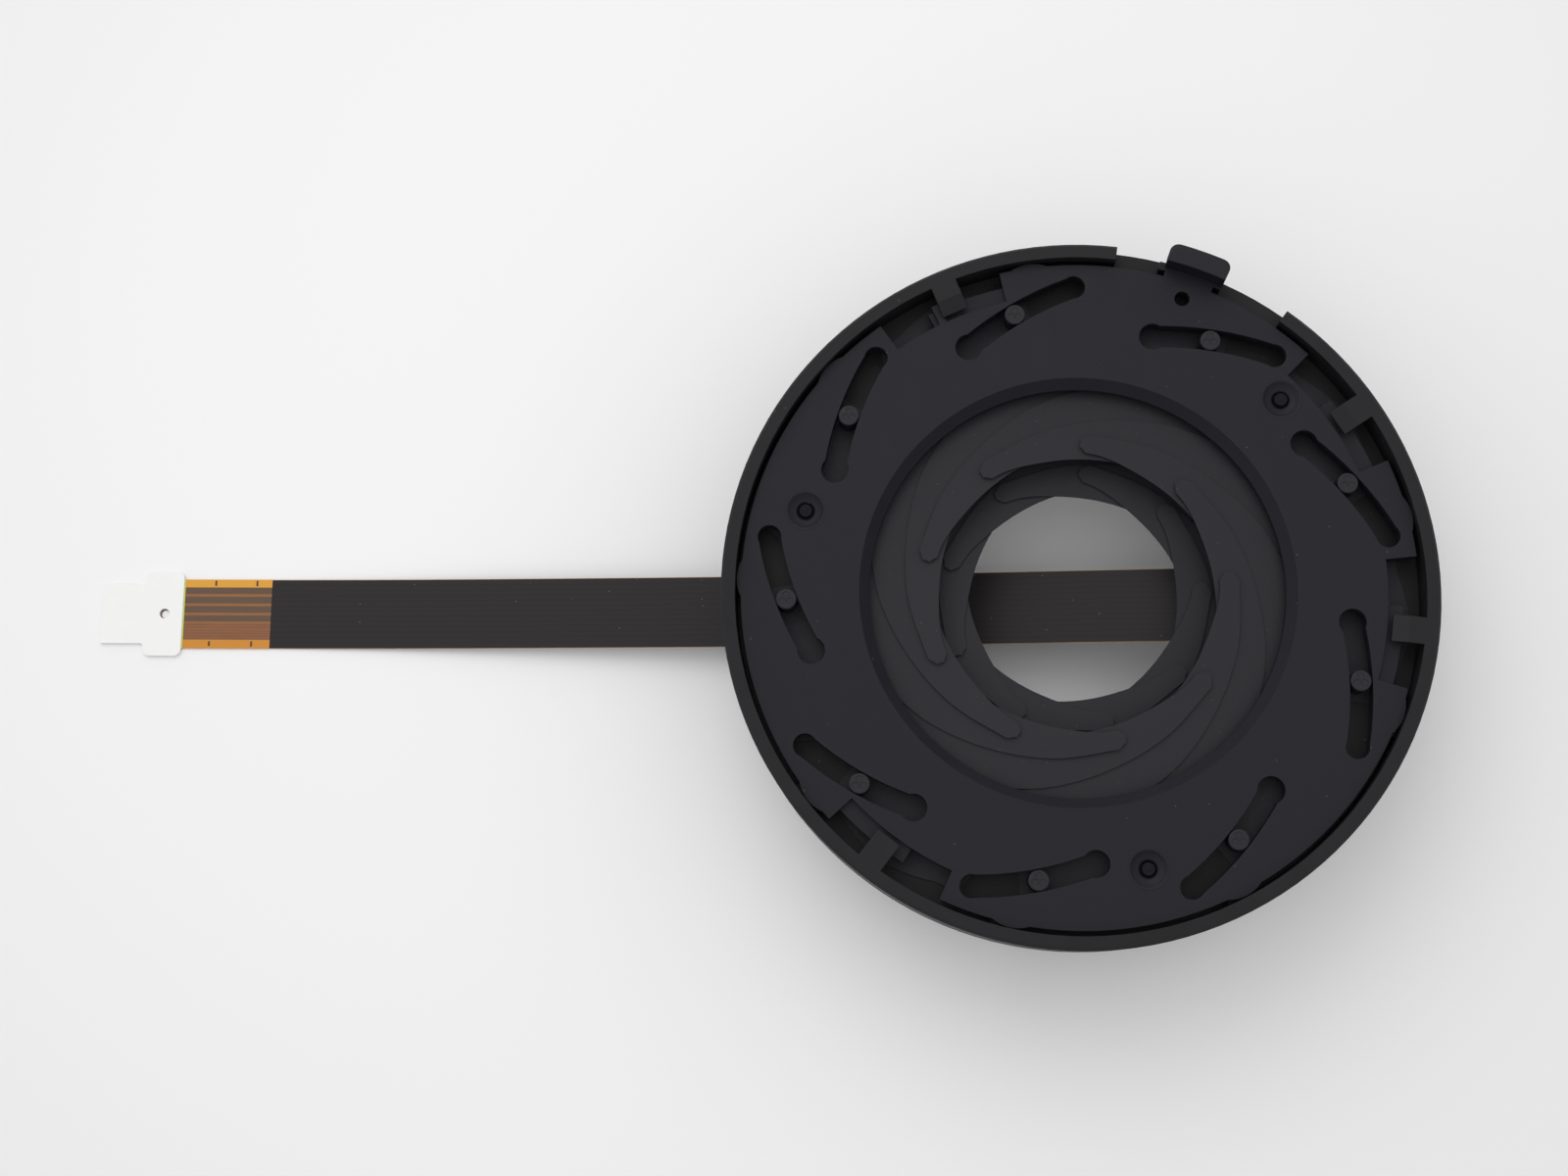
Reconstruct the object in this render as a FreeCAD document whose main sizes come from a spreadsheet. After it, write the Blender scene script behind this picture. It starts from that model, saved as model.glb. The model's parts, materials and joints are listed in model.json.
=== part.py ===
"""Lens aperture unit: two stacked nine-leaf irises in a moulded housing, with motor, sensor and flex.

Frame: origin on the optical axis in the plane of the three mounting posts' feet, +Z towards the
side with the lever, +X to the right and +Y up as seen from that side, angles counted from +X.
Upper iris: the cam plate with the lever turns on the axis and swings nine leaves by their cam pins.
Lower iris: the drive ring, turned by the motor's pinion, swings nine main leaves in the same way.
"""
import FreeCAD
import Part
import Sketcher
import math
import os

# Driving sizes, in millimetres and degrees; each is written once, here

HOUSING_SIZES = [
    ("rimRadius", 35.0, "outside radius of the housing"),
    ("rimWall", 1.4, "thickness of the housing's wall"),
    ("rimTop", 18.7, "height of the rim"),
    ("rimBevel", 0.25, "bevel at the rim's top outer edge"),
    ("wallFoot", 9.8, "height of the wall's lower edge, which stands on the cover"),
    ("decksLow", 13.2, "underside of the partition between the two irises"),
    ("decksHigh", 15.0, "top of the partition"),
    ("lightInset", 18.2, "distance from the housing's outer face in to the partition's hole, the light path"),
    ("windowLow", 16.05, "sill of the window that the lever passes through"),
    ("windowStart", 53.2, "angle where the lever's window starts"),
    ("windowSweep", 29.8, "angle that the lever's window spans"),
    ("hookPhase", 33.0, "angle of the first snap hook"),
    ("hookWidth", 2.6, "width of a snap hook"),
    ("hookReach", 3.1, "how far a hook reaches in from the wall"),
    ("hookThick", 0.75, "thickness of a hook at the rim"),
    ("hookBevel", 1.5, "length of the bevel at a hook's tip"),
    ("seatTop", 16.24, "top of the small ribs that carry the cam plate"),
    ("seatReach", 1.15, "how far those ribs reach in from the wall"),
    ("seatWidth", 1.0, "width of those ribs"),
    ("seatOffset", 17.6, "angle from a leaf's pivot to the rib beside it"),
    ("wallRoot", 0.3, "how far ribs and hooks reach into the wall that carries them"),
    ("bossRadius", 1.5, "radius of the bosses for the cover's screws"),
    ("bossTop", 11.0, "top of those bosses"),
    ("bossInset", 2.8, "distance of the cover's screws from the outside of the housing"),
    ("bossPhase", 5.0, "angle of the first cover screw"),
    ("bossHole", 0.62, "radius of the hole in those bosses"),
]
PLATE_SIZES = [
    ("plateLow", 16.3, "underside of the cam plate"),
    ("plateHigh", 17.8, "top of the cam plate"),
    ("plateHoleInset", 14.6, "distance from the housing's outer face in to the cam plate's hole"),
    ("plateBevel", 1.0, "bevel round that hole"),
    ("plateGap", 0.5, "gap between the cam plate's edge and the wall"),
    ("notchDepth", 3.0, "depth of the notches under the hooks"),
    ("notchStart", 9.9, "angle of a notch on the clockwise side of its hook"),
    ("notchSweep", 22.8, "angle that a notch spans"),
    ("ledgeTop", 17.15, "top of the ledge that a hook holds down"),
    ("ledgeWidth", 1.6, "width of that ledge"),
    ("ledgeSweep", 14.4, "angle that a ledge spans from its notch's clockwise wall"),
    ("ribWidth", 0.8, "width of the small upright rib on the second ledge"),
    ("ribLength", 2.0, "length of that rib"),
    ("ribAngle", 12.7, "angle from its notch's clockwise wall to that rib"),
    ("lobeHigh", 0.42, "height of the lobes that centre the cam plate in the wall"),
    ("lobeArc", 3.8, "radius of those lobes' round edge"),
    ("dimpleInset", 5.2, "distance of the three gate dimples from the plate's edge"),
    ("dimplePhase", 43.5, "angle of the first gate dimple"),
    ("dimpleRadius", 2.0, "radius of a gate dimple at the surface"),
    ("dimpleDepth", 0.55, "depth of a gate dimple"),
    ("nubRadius", 0.6, "radius of the nub in a gate dimple"),
    ("leverAngle", 70.1, "angle of the lever"),
    ("neckWidth", 5.0, "width of the lever's neck"),
    ("neckLength", 1.6, "how far the neck reaches out past the plate's edge"),
    ("paddleInset", 1.0, "how far inside the housing's outer face the paddle starts"),
    ("paddleProud", 0.7, "how far the paddle stands out past that face"),
    ("paddleSweep", 8.8, "angle that the paddle spans"),
    ("paddleHigh", 20.3, "upper end of the paddle"),
    ("paddleStep", 0.35, "step between the paddle's two bands"),
    ("paddleStepHigh", 17.9, "height of that step"),
    ("earSweep", 11.0, "angle across the two small ears at the paddle's root"),
    ("earInset", 1.3, "how far inside that face the ears start"),
    ("earThick", 0.8, "thickness of the ears"),
    ("leverHoleInset", 1.7, "distance of the small hole in the lever's neck from the plate's edge"),
    ("leverHole", 0.75, "radius of that hole"),
]
LEAF_SIZES = [
    ("leafCount", 9, "leaves in each iris"),
    ("leafThick", 0.07, "thickness of a leaf"),
    ("tipAngle", 107.8, "angle from a leaf's pivot to its tip, iris open"),
    ("tailMargin", 3.0, "angle that the leaf reaches past its cam pin"),
    ("tipWidth", 1.7, "width of a leaf at its tip"),
    ("tipRound", 0.45, "how far the tip's corners are rounded off"),
    ("tipRoundSweep", 2.2, "angle over which the tip's corners are rounded off"),
    ("rootBlend", 8.0, "angle over which a leaf's root narrows to its arm"),
    ("rootPast", 0.5, "angle past its cam pin's lag where that narrowing ends"),
    ("tailWide", 5.0, "angle past its pivot where a leaf's inner edge starts to draw outwards"),
    ("edgeStep", 1.0, "angle between the points of a leaf's edges at its tip"),
    ("tailInnerInset", 9.6, "inner edge of the leaf at its tail, from the housing's outer face"),
    ("shoulderInset", 2.7, "outer edge of the leaf beside its pivot, from that face"),
    ("tailOuterInset", 5.1, "outer edge of the leaf at its tail, from that face"),
    ("leafRise", 0.0065, "rise of a leaf per degree"),
    ("tipLift", 0.00011, "further rise towards the tip, per square degree"),
    ("liftStart", 60.0, "angle where that further rise starts"),
    ("camPinRadius", 1.0, "radius of a leaf's cam pin"),
    ("pivotPinRadius", 0.75, "radius of a leaf's pivot pin"),
    ("pivotClearance", 0.05, "radial running clearance of a pivot pin in its hole"),
    ("pivotDepth", 0.7, "depth of a pivot hole"),
    ("pinEndGap", 0.08, "gap at the bottom of a pivot hole"),
    ("slotClearance", 0.1, "clearance of a cam pin on each side of its slot"),
    ("lobeRadius", 1.34, "radius of the round lobe at a slot's open end"),
    ("slotEnd", 1.16, "radius of a slot's shut end"),
    ("slotPastOpen", 0.5, "angle that a slot leaves beyond the open end"),
    ("slotPastShut", 5.0, "angle that a slot leaves beyond the shut end"),
    ("ringSlotPastShut", 2.0, "the same angle at the shut end of the drive ring's slots"),
]
UPPER_SIZES = [
    ("upperRoot", 15.06, "underside of an upper leaf at its tail"),
    ("upperOpenInset", 15.1, "distance from that face in to the upper iris, fully open"),
    ("upperArmInset", 9.5, "outer edge of an upper leaf's arm, from that face, iris open"),
    ("upperTaper", 52.0, "angle where an upper leaf's arm starts to taper"),
    ("upperPivotInset", 4.5, "distance of the upper pivots from the housing's outer face"),
    ("upperPivotPhase", 38.3, "angle of the first upper pivot"),
    ("upperPinInset", 6.4, "distance of the upper cam pins from that face at rest"),
    ("upperPinLag", 16.3, "angle from an upper pivot back to its cam pin at rest"),
    ("upperRatio", 1.2, "angle that an upper leaf turns per angle of the cam plate"),
    ("upperToOpen", 10.0, "angle that the cam plate turns from rest to fully open"),
    ("upperToShut", 7.0, "angle that the cam plate turns from rest to its smallest opening"),
    ("upperPinTop", 17.7, "top of the upper cam pins"),
]
LOWER_SIZES = [
    ("lowerRoot", 12.02, "underside of a main leaf at its tail"),
    ("lowerOpenInset", 15.0, "distance from that face in to the lower iris, fully open"),
    ("lowerArmInset", 8.3, "outer edge of a main leaf's arm, from that face, iris open"),
    ("lowerTaper", 40.0, "angle where a main leaf's arm starts to taper"),
    ("lowerPivotInset", 4.0, "distance of the lower pivots from the housing's outer face"),
    ("lowerPivotPhase", 21.2, "angle of the first lower pivot"),
    ("lowerPinInset", 4.7, "distance of the lower cam pins from that face at rest"),
    ("lowerPinLag", 12.0, "angle from a lower pivot back to its cam pin at rest"),
    ("lowerRatio", 1.6, "angle that a main leaf turns per angle of the drive ring"),
    ("lowerToOpen", 11.3, "angle that the drive ring turns from rest to fully open"),
    ("lowerToShut", 5.0, "angle that the drive ring turns from rest to its smallest opening"),
]
RING_SIZES = [
    ("ringBoreInset", 13.7, "distance from the housing's outer face in to the drive ring's bore"),
    ("ringLow", 9.86, "underside of the drive ring's hub"),
    ("discLow", 11.2, "underside of the drive ring's slotted disc"),
    ("discHigh", 11.95, "top of that disc"),
    ("discGap", 0.9, "gap between that disc's edge and the wall"),
    ("gearModule", 0.5, "module of the teeth"),
    ("ringTeethCut", 12, "teeth that the ring's sector really has"),
    ("ringAddendum", 0.35, "height of the ring's teeth over the pitch circle"),
    ("dedendum", 0.62, "depth of the teeth under the pitch circle"),
    ("pinionTeeth", 12, "teeth of the pinion"),
    ("pinionAddendum", 0.5, "height of the pinion's teeth over the pitch circle"),
    ("backlash", 0.05, "thinning of each tooth at the pitch circle"),
    ("pressureAngle", 20.0, "pressure angle of the teeth"),
    ("toothRoot", 0.3, "how far a tooth reaches in under its root circle"),
    ("gearLow", 10.1, "underside of the ring's teeth"),
    ("pinionLow", 10.15, "underside of the pinion"),
    ("pinionHigh", 11.08, "top of the pinion and of its shaft"),
    ("flagInset", 11.0, "distance from the housing's outer face in to the flag's inner side"),
    ("flagThick", 0.6, "thickness of the drive ring's sensor flag"),
    ("flagLow", 6.8, "lower end of that flag"),
    ("flagStart", 55.0, "angle where that flag starts"),
    ("flagSweep", 8.0, "angle that it spans"),
]
COVER_SIZES = [
    ("coverLow", 9.0, "underside of the bottom cover"),
    ("coverInset", 0.2, "how far the cover's edge stays inside the housing's outer face"),
    ("coverLip", 0.4, "how far the cover reaches in past the collar"),
    ("collarWall", 1.24, "wall of the collar that the drive ring runs on"),
    ("collarGap", 0.06, "radial running clearance of the drive ring on the collar"),
    ("collarTop", 11.9, "top of the collar"),
    ("postRadius", 2.2, "radius of a mounting post"),
    ("postInset", 3.6, "distance of the mounting posts from the housing's outer face"),
    ("postPhase", 25.0, "angle of the first mounting post"),
    ("postHole", 1.0, "radius of the screw hole in a mounting post"),
    ("postDepth", 6.0, "depth of that hole"),
    ("flagRoom", 0.35, "room for the flag on each side of the cover's slot"),
    ("flagEndRoom", 1.5, "angle of room for the flag at each end of the cover's slot"),
    ("screwHead", 1.25, "radius of a cover screw's head"),
    ("screwHeadHigh", 0.6, "height of a cover screw's head"),
    ("screwShank", 0.6, "radius of a cover screw's shank"),
    ("screwEnd", 10.9, "height that a cover screw reaches up to"),
    ("screwRecess", 0.25, "depth of the recess in a screw's head"),
]
MOTOR_SIZES = [
    ("motorAngle", -60.0, "angle of the motor"),
    ("motorInset", 6.0, "distance from the housing's outer face in to the motor's axis"),
    ("motorRadius", 4.4, "radius of the motor's can"),
    ("motorWall", 0.3, "wall of the can"),
    ("motorLow", 1.9, "underside of the can"),
    ("motorFloor", 0.6, "thickness of the can's floor, which holds the lower bearing"),
    ("motorHigh", 8.5, "top of the can, under the flange"),
    ("earOffset", 6.5, "distance from the motor's axis to a flange screw"),
    ("earRadius", 1.5, "radius of a flange ear"),
    ("earHole", 0.65, "radius of the hole in an ear"),
    ("flangeBoss", 1.6, "radius of the flange's bearing boss"),
    ("flangeBossTop", 9.9, "top of that boss"),
    ("shaftRadius", 0.5, "radius of the motor's shaft"),
    ("shaftGap", 0.04, "radial running clearance of the shaft"),
    ("shaftLow", 2.1, "lower end of the shaft"),
    ("magnetRadius", 2.55, "radius of the rotor's magnet"),
    ("magnetLow", 2.9, "underside of the magnet"),
    ("magnetHigh", 8.0, "top of the magnet"),
    ("coilInner", 2.85, "inner radius of a coil"),
    ("coilOuter", 4.0, "outer radius of a coil"),
    ("coilHigh", 2.45, "height of a coil"),
    ("coilLow", 2.7, "underside of the lower coil"),
    ("coilStep", 2.85, "distance from one coil up to the next"),
    ("flangeScrewHead", 1.15, "radius of a flange screw's head"),
    ("flangeScrewHeadHigh", 0.5, "height of that head"),
    ("flangeScrewShank", 0.6, "radius of its shank"),
    ("flangeScrewEnd", 10.6, "height that it reaches up to"),
    ("coverBossRadius", 1.3, "radius of the cover's bosses for the flange screws"),
    ("coverBossTop", 10.8, "top of those bosses"),
    ("pinionRoom", 3.85, "radius of the cover's hole round the pinion"),
    ("blockWidth", 4.2, "width of the motor's terminal block"),
    ("blockDepth", 1.5, "depth of the block outside the can"),
    ("blockHigh", 1.3, "height of the block"),
    ("terminalCount", 4, "motor terminals"),
    ("terminalPitch", 1.0, "pitch of the terminals"),
    ("terminalSize", 0.3, "thickness of a terminal"),
    ("terminalReach", 1.2, "length of a terminal outside its block"),
]
FLEX_SIZES = [
    ("flexThick", 0.15, "thickness of the flexible circuit"),
    ("flexInnerInset", 13.0, "inner edge of the circuit's fixed part, from the housing's outer face"),
    ("flexOuterInset", 6.2, "outer edge of that part, from that face"),
    ("flexStart", -43.0, "angle where that part starts, beside the motor"),
    ("flexSweep", 110.0, "angle that it spans"),
    ("armInnerInset", 14.4, "inner edge of the circuit's arm past the motor, from that face"),
    ("armOuterInset", 11.6, "outer edge of that arm, from that face"),
    ("flexArmStart", -67.0, "angle where that arm ends"),
    ("armLap", 3.0, "angle that the arm reaches into the arc"),
    ("ribbonWidth", 7.5, "width of the ribbon"),
    ("rootLength", 1.2, "length of the ribbon's root, in from that part's inner edge"),
    ("rootLap", 1.0, "how far that root reaches into the fixed part"),
    ("ribbonOffset", 0.1, "sideways place of the ribbon's centre line"),
    ("windowLength", 9.6, "length of the bare amber stretch at the ribbon's end"),
    ("stiffLength", 8.9, "length of the white stiffener"),
    ("stiffThick", 0.3, "thickness of the stiffener"),
    ("stiffWide", 9.2, "width of the stiffener across its ears"),
    ("stiffEars", 4.2, "length of the part with the ears"),
    ("stiffNarrow", 6.5, "width of the stiffener's tip"),
    ("stiffHole", 0.53, "radius of the hole in the stiffener"),
    ("stiffHoleBack", 2.0, "distance of that hole from the stiffener's inner end"),
    ("contactCount", 12, "contacts under the tip"),
    ("contactPitch", 0.5, "pitch of the contacts"),
    ("contactWidth", 0.3, "width of a contact"),
    ("contactLength", 3.2, "length of a contact"),
    ("contactThick", 0.03, "thickness of a contact"),
    ("contactBack", 0.15, "distance of the contacts from the tip's end"),
    ("earRound", 0.7, "rounding of the stiffener's ears"),
    ("endLift", 0.03, "height of the ribbon's flat end over the foot plane"),
    ("sensorWidth", 4.4, "width of the photo interrupter"),
    ("sensorBack", 1.7, "depth of the photo interrupter inside the flag"),
    ("sensorFront", 1.7, "depth of it outside the flag"),
    ("sensorLow", 5.6, "underside of it"),
    ("sensorFloor", 0.8, "thickness of its floor"),
    ("sensorAngle", 59.0, "angle of it"),
    ("leadCount", 4, "leads of the photo interrupter"),
    ("leadSize", 0.35, "thickness of a lead"),
    ("leadReach", 0.6, "length of a lead"),
    ("leadSpread", 1.3, "distance of a lead from the sensor's middle"),
]
ALL_SIZES = (HOUSING_SIZES + PLATE_SIZES + LEAF_SIZES + UPPER_SIZES + LOWER_SIZES
             + RING_SIZES + COVER_SIZES + MOTOR_SIZES + FLEX_SIZES)

# Angles from the first snap hook to each of the four, angles of the cam plate's centring lobes, and
# the ribbon's route in its own side view, from the fixed circuit to the flat end: distance from the
# axis and height of the ribbon's middle
HOOK_STEPS = (0.0, 80.0, 200.0, 320.0)
LOBE_ANGLES = (13.3, 97.9, 137.6, 178.1, 218.3, 258.4, 298.1, 338.3)
RIBBON_ROUTE = ((14.0, 8.72), (5.5, 7.75), (-5.0, 6.2), (-16.0, 4.75), (-28.0, 3.45),
                (-41.0, 2.35), (-54.0, 1.45), (-66.0, 0.72), (-76.0, 0.26), (-85.0, 0.105))

# Radii that follow from the housing's size, as sums of sizes
INSIDE = "rimRadius - rimWall"
PLATE_EDGE = INSIDE + " - plateGap"
NOTCH_FLOOR = PLATE_EDGE + " - notchDepth"
LIGHT_EDGE = "rimRadius - lightInset"
PLATE_HOLE = "rimRadius - plateHoleInset"
RING_BORE = "rimRadius - ringBoreInset"
COLLAR_OUTER = RING_BORE + " - collarGap"
COLLAR_INNER = COLLAR_OUTER + " - collarWall"
COVER_HOLE = COLLAR_INNER + " - coverLip"
GEAR_CIRCLE = "rimRadius - motorInset"
FLAG_INNER = "rimRadius - flagInset"
FLAG_OUTER = FLAG_INNER + " + flagThick"
SENSOR_INNER = FLAG_INNER + " - sensorBack"
SENSOR_OUTER = FLAG_OUTER + " + sensorFront"
FLEX_INNER = "rimRadius - flexInnerInset"
BOSS_CIRCLE = "rimRadius - bossInset"
POST_CIRCLE = "rimRadius - postInset"

UP = FreeCAD.Vector(0, 0, 1)
document = FreeCAD.newDocument("ApertureUnit")
sheet = document.addObject("Spreadsheet::Sheet", "Sizes")
for row, (alias, value, meaning) in enumerate(ALL_SIZES, start=1):
    sheet.set("A%d" % row, str(value))
    sheet.setAlias("A%d" % row, alias)
    sheet.set("B%d" % row, meaning)
document.recompute()
pieces = []


# Sizes and expressions

def size(alias):
    """The number in the sheet's cell of that name."""
    return float(sheet.get(alias))


def is_number(word):
    """Whether a word of a sum is a plain number."""
    return word.replace(".", "", 1).isdigit()


def amount(text):
    """Value of a sum such as 'rimRadius - rimWall', whose terms may be products."""
    total = 0.0
    sign = 1.0
    for word in text.split():
        if word in "+-":
            sign = 1.0 if word == "+" else -1.0
            continue
        term = sign
        for factor in word.split("*"):
            term *= float(factor) if is_number(factor) else size(factor)
        total += term
        sign = 1.0
    return total


def formula(text):
    """The same sum as an expression on the sheet's cells."""
    words = []
    for word in text.split():
        factors = [part if part in "+-" or is_number(part) else "Sizes." + part
                   for part in word.split("*")]
        words.append(" * ".join(factors))
    return " ".join(words)


def inside_rim(alias):
    """Radius that lies a named distance inside the housing's outer face."""
    return size("rimRadius") - size(alias)


def polar(radius, degrees, height=0.0):
    """Point at a radius, angle and height."""
    turn = math.radians(degrees)
    return FreeCAD.Vector(radius * math.cos(turn), radius * math.sin(turn), height)


# Building blocks bound to the sheet

def keep(thing, label):
    """Names a finished sub-part; the name is its file's name too."""
    thing.Label = label
    pieces.append(thing)
    return thing


def cylinder(name, radius, low, high, circle="", angle="", more_angle=0.0):
    """Upright cylinder between two heights, on the axis or at a polar place."""
    solid = document.addObject("Part::Cylinder", name)
    solid.setExpression("Radius", formula(radius))
    solid.setExpression("Height", "(%s) - (%s)" % (formula(high), formula(low)))
    solid.setExpression("Placement.Base.z", formula(low))
    if circle:
        turn = "((%s) + %g) * 1 deg" % (formula(angle), more_angle)
        solid.setExpression("Placement.Base.x", "(%s) * cos(%s)" % (formula(circle), turn))
        solid.setExpression("Placement.Base.y", "(%s) * sin(%s)" % (formula(circle), turn))
    return solid


def wedge(name, radius, low, high, start, sweep, more_angle=0.0):
    """Upright slice of a cylinder about the axis, from one angle over a sweep."""
    solid = cylinder(name, radius, low, high)
    solid.setExpression("Angle", formula(sweep))
    solid.Placement.Rotation = FreeCAD.Rotation(UP, 1)
    solid.setExpression("Placement.Rotation.Angle", "(%s) + %g" % (formula(start), more_angle))
    return solid


def bar(name, radial, across, low, high, angle, more_angle=0.0, shift="0"):
    """Box along a radius, from one radius to another, centred on an angle or shifted off it."""
    inner, outer = radial
    solid = document.addObject("Part::Box", name)
    solid.setExpression("Length", "(%s) - (%s)" % (formula(outer), formula(inner)))
    solid.setExpression("Width", formula(across))
    solid.setExpression("Height", "(%s) - (%s)" % (formula(high), formula(low)))
    turn = "((%s) + %g) * 1 deg" % (formula(angle), more_angle)
    half = "((%s) / 2 - (%s))" % (formula(across), formula(shift))
    solid.Placement.Rotation = FreeCAD.Rotation(UP, 1)
    solid.setExpression("Placement.Rotation.Angle", "(%s) + %g" % (formula(angle), more_angle))
    solid.setExpression("Placement.Base.x",
                        "(%s) * cos(%s) + %s * sin(%s)" % (formula(inner), turn, half, turn))
    solid.setExpression("Placement.Base.y",
                        "(%s) * sin(%s) - %s * cos(%s)" % (formula(inner), turn, half, turn))
    solid.setExpression("Placement.Base.z", formula(low))
    return solid


def join(name, *things):
    """One solid from several that touch or overlap."""
    fused = document.addObject("Part::MultiFuse", name)
    fused.Shapes = list(things)
    fused.Refine = True
    return fused


def group(name, *things):
    """Separate solids kept together as one sub-part."""
    compound = document.addObject("Part::Compound", name)
    compound.Links = list(things)
    return compound


def cut(name, base, *tools):
    """The base less the tools."""
    result = document.addObject("Part::Cut", name)
    result.Base = base
    result.Tool = tools[0] if len(tools) == 1 else group(name + "Tools", *tools)
    result.Refine = True
    return result


def ring_slice(name, inner, outer, low, high, start, sweep, more_angle=0.0):
    """Slice of an upright tube about the axis."""
    return cut(name, wedge(name + "Slice", outer, low, high, start, sweep, more_angle),
               cylinder(name + "Core", inner, low, high))


def hold(sketch, edge, end, point):
    """Fixes a sketch point at two sums of sizes."""
    for kind, text in zip(("DistanceX", "DistanceY"), point):
        rule = sketch.addConstraint(Sketcher.Constraint(kind, -1, 1, edge, end, amount(text)))
        sketch.setExpression("Constraints[%d]" % rule, formula(text))


def turned_profile(name, corners):
    """Body turned about the axis from a closed outline of radius and height, each a sum of sizes."""
    body = document.addObject("PartDesign::Body", name)
    plane = next(part for part in body.Origin.OriginFeatures if part.Role == "XZ_Plane")
    sketch = body.newObject("Sketcher::SketchObject", name + "Outline")
    sketch.AttachmentSupport = [(plane, "")]
    sketch.MapMode = "FlatFace"
    points = [FreeCAD.Vector(amount(across), amount(up), 0) for across, up in corners]
    count = len(points)
    for edge in range(count):
        sketch.addGeometry(Part.LineSegment(points[edge], points[(edge + 1) % count]), False)
    for edge in range(count):
        sketch.addConstraint(Sketcher.Constraint("Coincident", edge, 2, (edge + 1) % count, 1))
        hold(sketch, edge, 1, corners[edge])
    turned = body.newObject("PartDesign::Revolution", name + "Turned")
    turned.Profile = sketch
    turned.ReferenceAxis = (sketch, ["V_Axis"])
    turned.Angle = 360
    return body


def shaped(name, shape):
    """Document object for a shape that is worked out from the sheet's sizes."""
    thing = document.addObject("Part::Feature", name)
    thing.Shape = shape
    return thing


# Leaves and the slots that drive them

def ease(share):
    """Smooth step from 0 to 1."""
    share = min(max(share, 0.0), 1.0)
    return share * share * (3.0 - 2.0 * share)


def tip_corner(angle):
    """How far a leaf's edge is drawn in near its tip, so that the corners are round."""
    sweep = size("tipRoundSweep")
    return size("tipRound") * ease((angle - size("tipAngle") + sweep) / sweep)


def leaf_inner(side, angle):
    """Inner radius of an open leaf: round the light path, drawn outwards under its tail."""
    tail = -size(side + "PinLag") - size("tailMargin")
    widest = size("tailWide")
    radius = inside_rim(side + "OpenInset")
    radius += (inside_rim("tailInnerInset") - radius) * ease((widest - angle) / (widest - tail))
    return radius + tip_corner(angle)


def leaf_outer(side, angle):
    """Outer radius of an open leaf: a wide root over pivot and pin, then a tapering arm."""
    lag = size(side + "PinLag")
    taper = size(side + "Taper")
    run = min(max((angle - taper) / (size("tipAngle") - taper), 0.0), 1.0)
    arm_outer = inside_rim(side + "ArmInset")
    tip_outer = inside_rim(side + "OpenInset") + size("tipWidth")
    arm = arm_outer - (arm_outer - tip_outer) * run - tip_corner(angle)
    behind_pivot = -angle - size("tailMargin")
    root = inside_rim("shoulderInset")
    root += (inside_rim("tailOuterInset") - root) * ease(behind_pivot / lag)
    return arm + (root - arm) * ease((lag + size("rootPast") - angle) / size("rootBlend"))


def leaf_height(side, angle):
    """Height of a leaf's underside: a slow helical rise to the tip, so that each leaf rides over the next."""
    tail = -size(side + "PinLag") - size("tailMargin")
    lift = max(angle - size("liftStart"), 0.0)
    return size(side + "Root") + size("leafRise") * (angle - tail) + size("tipLift") * lift * lift


def leaf_stations(side):
    """Angles at which a leaf's edges are worked out: close at the root and tip, wide along the arm."""
    tail = -size(side + "PinLag") - size("tailMargin")
    root_end = size(side + "PinLag") + size("rootBlend") / 2
    tip = size("tipAngle")
    nearest = size("edgeStep")
    arm_end = tip - 3 * nearest
    root = [tail + (root_end - tail) * step / 11.0 for step in range(11)]
    arm = [root_end + (arm_end - root_end) * step / 7.0 for step in range(7)]
    return root + arm + [arm_end, tip - 2 * nearest, tip - nearest, tip]


def smooth_edge(points, marks):
    """Spline edge through points at given marks."""
    curve = Part.BSplineCurve()
    curve.interpolate(Points=points, Parameters=marks)
    return curve.toShape()


def leaf_sheet(side):
    """Thin leaf, iris open, pivot on the +X axis: a ruled, slowly rising face given its thickness."""
    stations = leaf_stations(side)
    span = stations[-1] - stations[0]
    marks = [(angle - stations[0]) / span for angle in stations]
    inner = [polar(leaf_inner(side, a), a, leaf_height(side, a)) for a in stations]
    outer = [polar(leaf_outer(side, a), a, leaf_height(side, a)) for a in stations]
    face = Part.makeRuledSurface(smooth_edge(inner, marks), smooth_edge(outer, marks))
    sheet_solid = face.extrude(UP * size("leafThick"))
    if sheet_solid.ShapeType != "Solid":
        sheet_solid = Part.makeSolid(sheet_solid)
    return sheet_solid


def rest_turn(side):
    """Angle that a leaf has turned inwards at rest, from fully open."""
    return size(side + "Ratio") * size(side + "ToOpen")


def open_pin(side):
    """Place of a leaf's cam pin, iris open, pivot on the +X axis."""
    pivot = polar(inside_rim(side + "PivotInset"), 0.0)
    at_rest = polar(inside_rim(side + "PinInset"), -size(side + "PinLag"))
    back = FreeCAD.Rotation(UP, -rest_turn(side))
    return pivot + back.multVec(at_rest - pivot)


def peg(radius, place, low, high):
    """Upright pin."""
    return Part.makeCylinder(radius, high - low, FreeCAD.Vector(place.x, place.y, low), UP)


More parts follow.
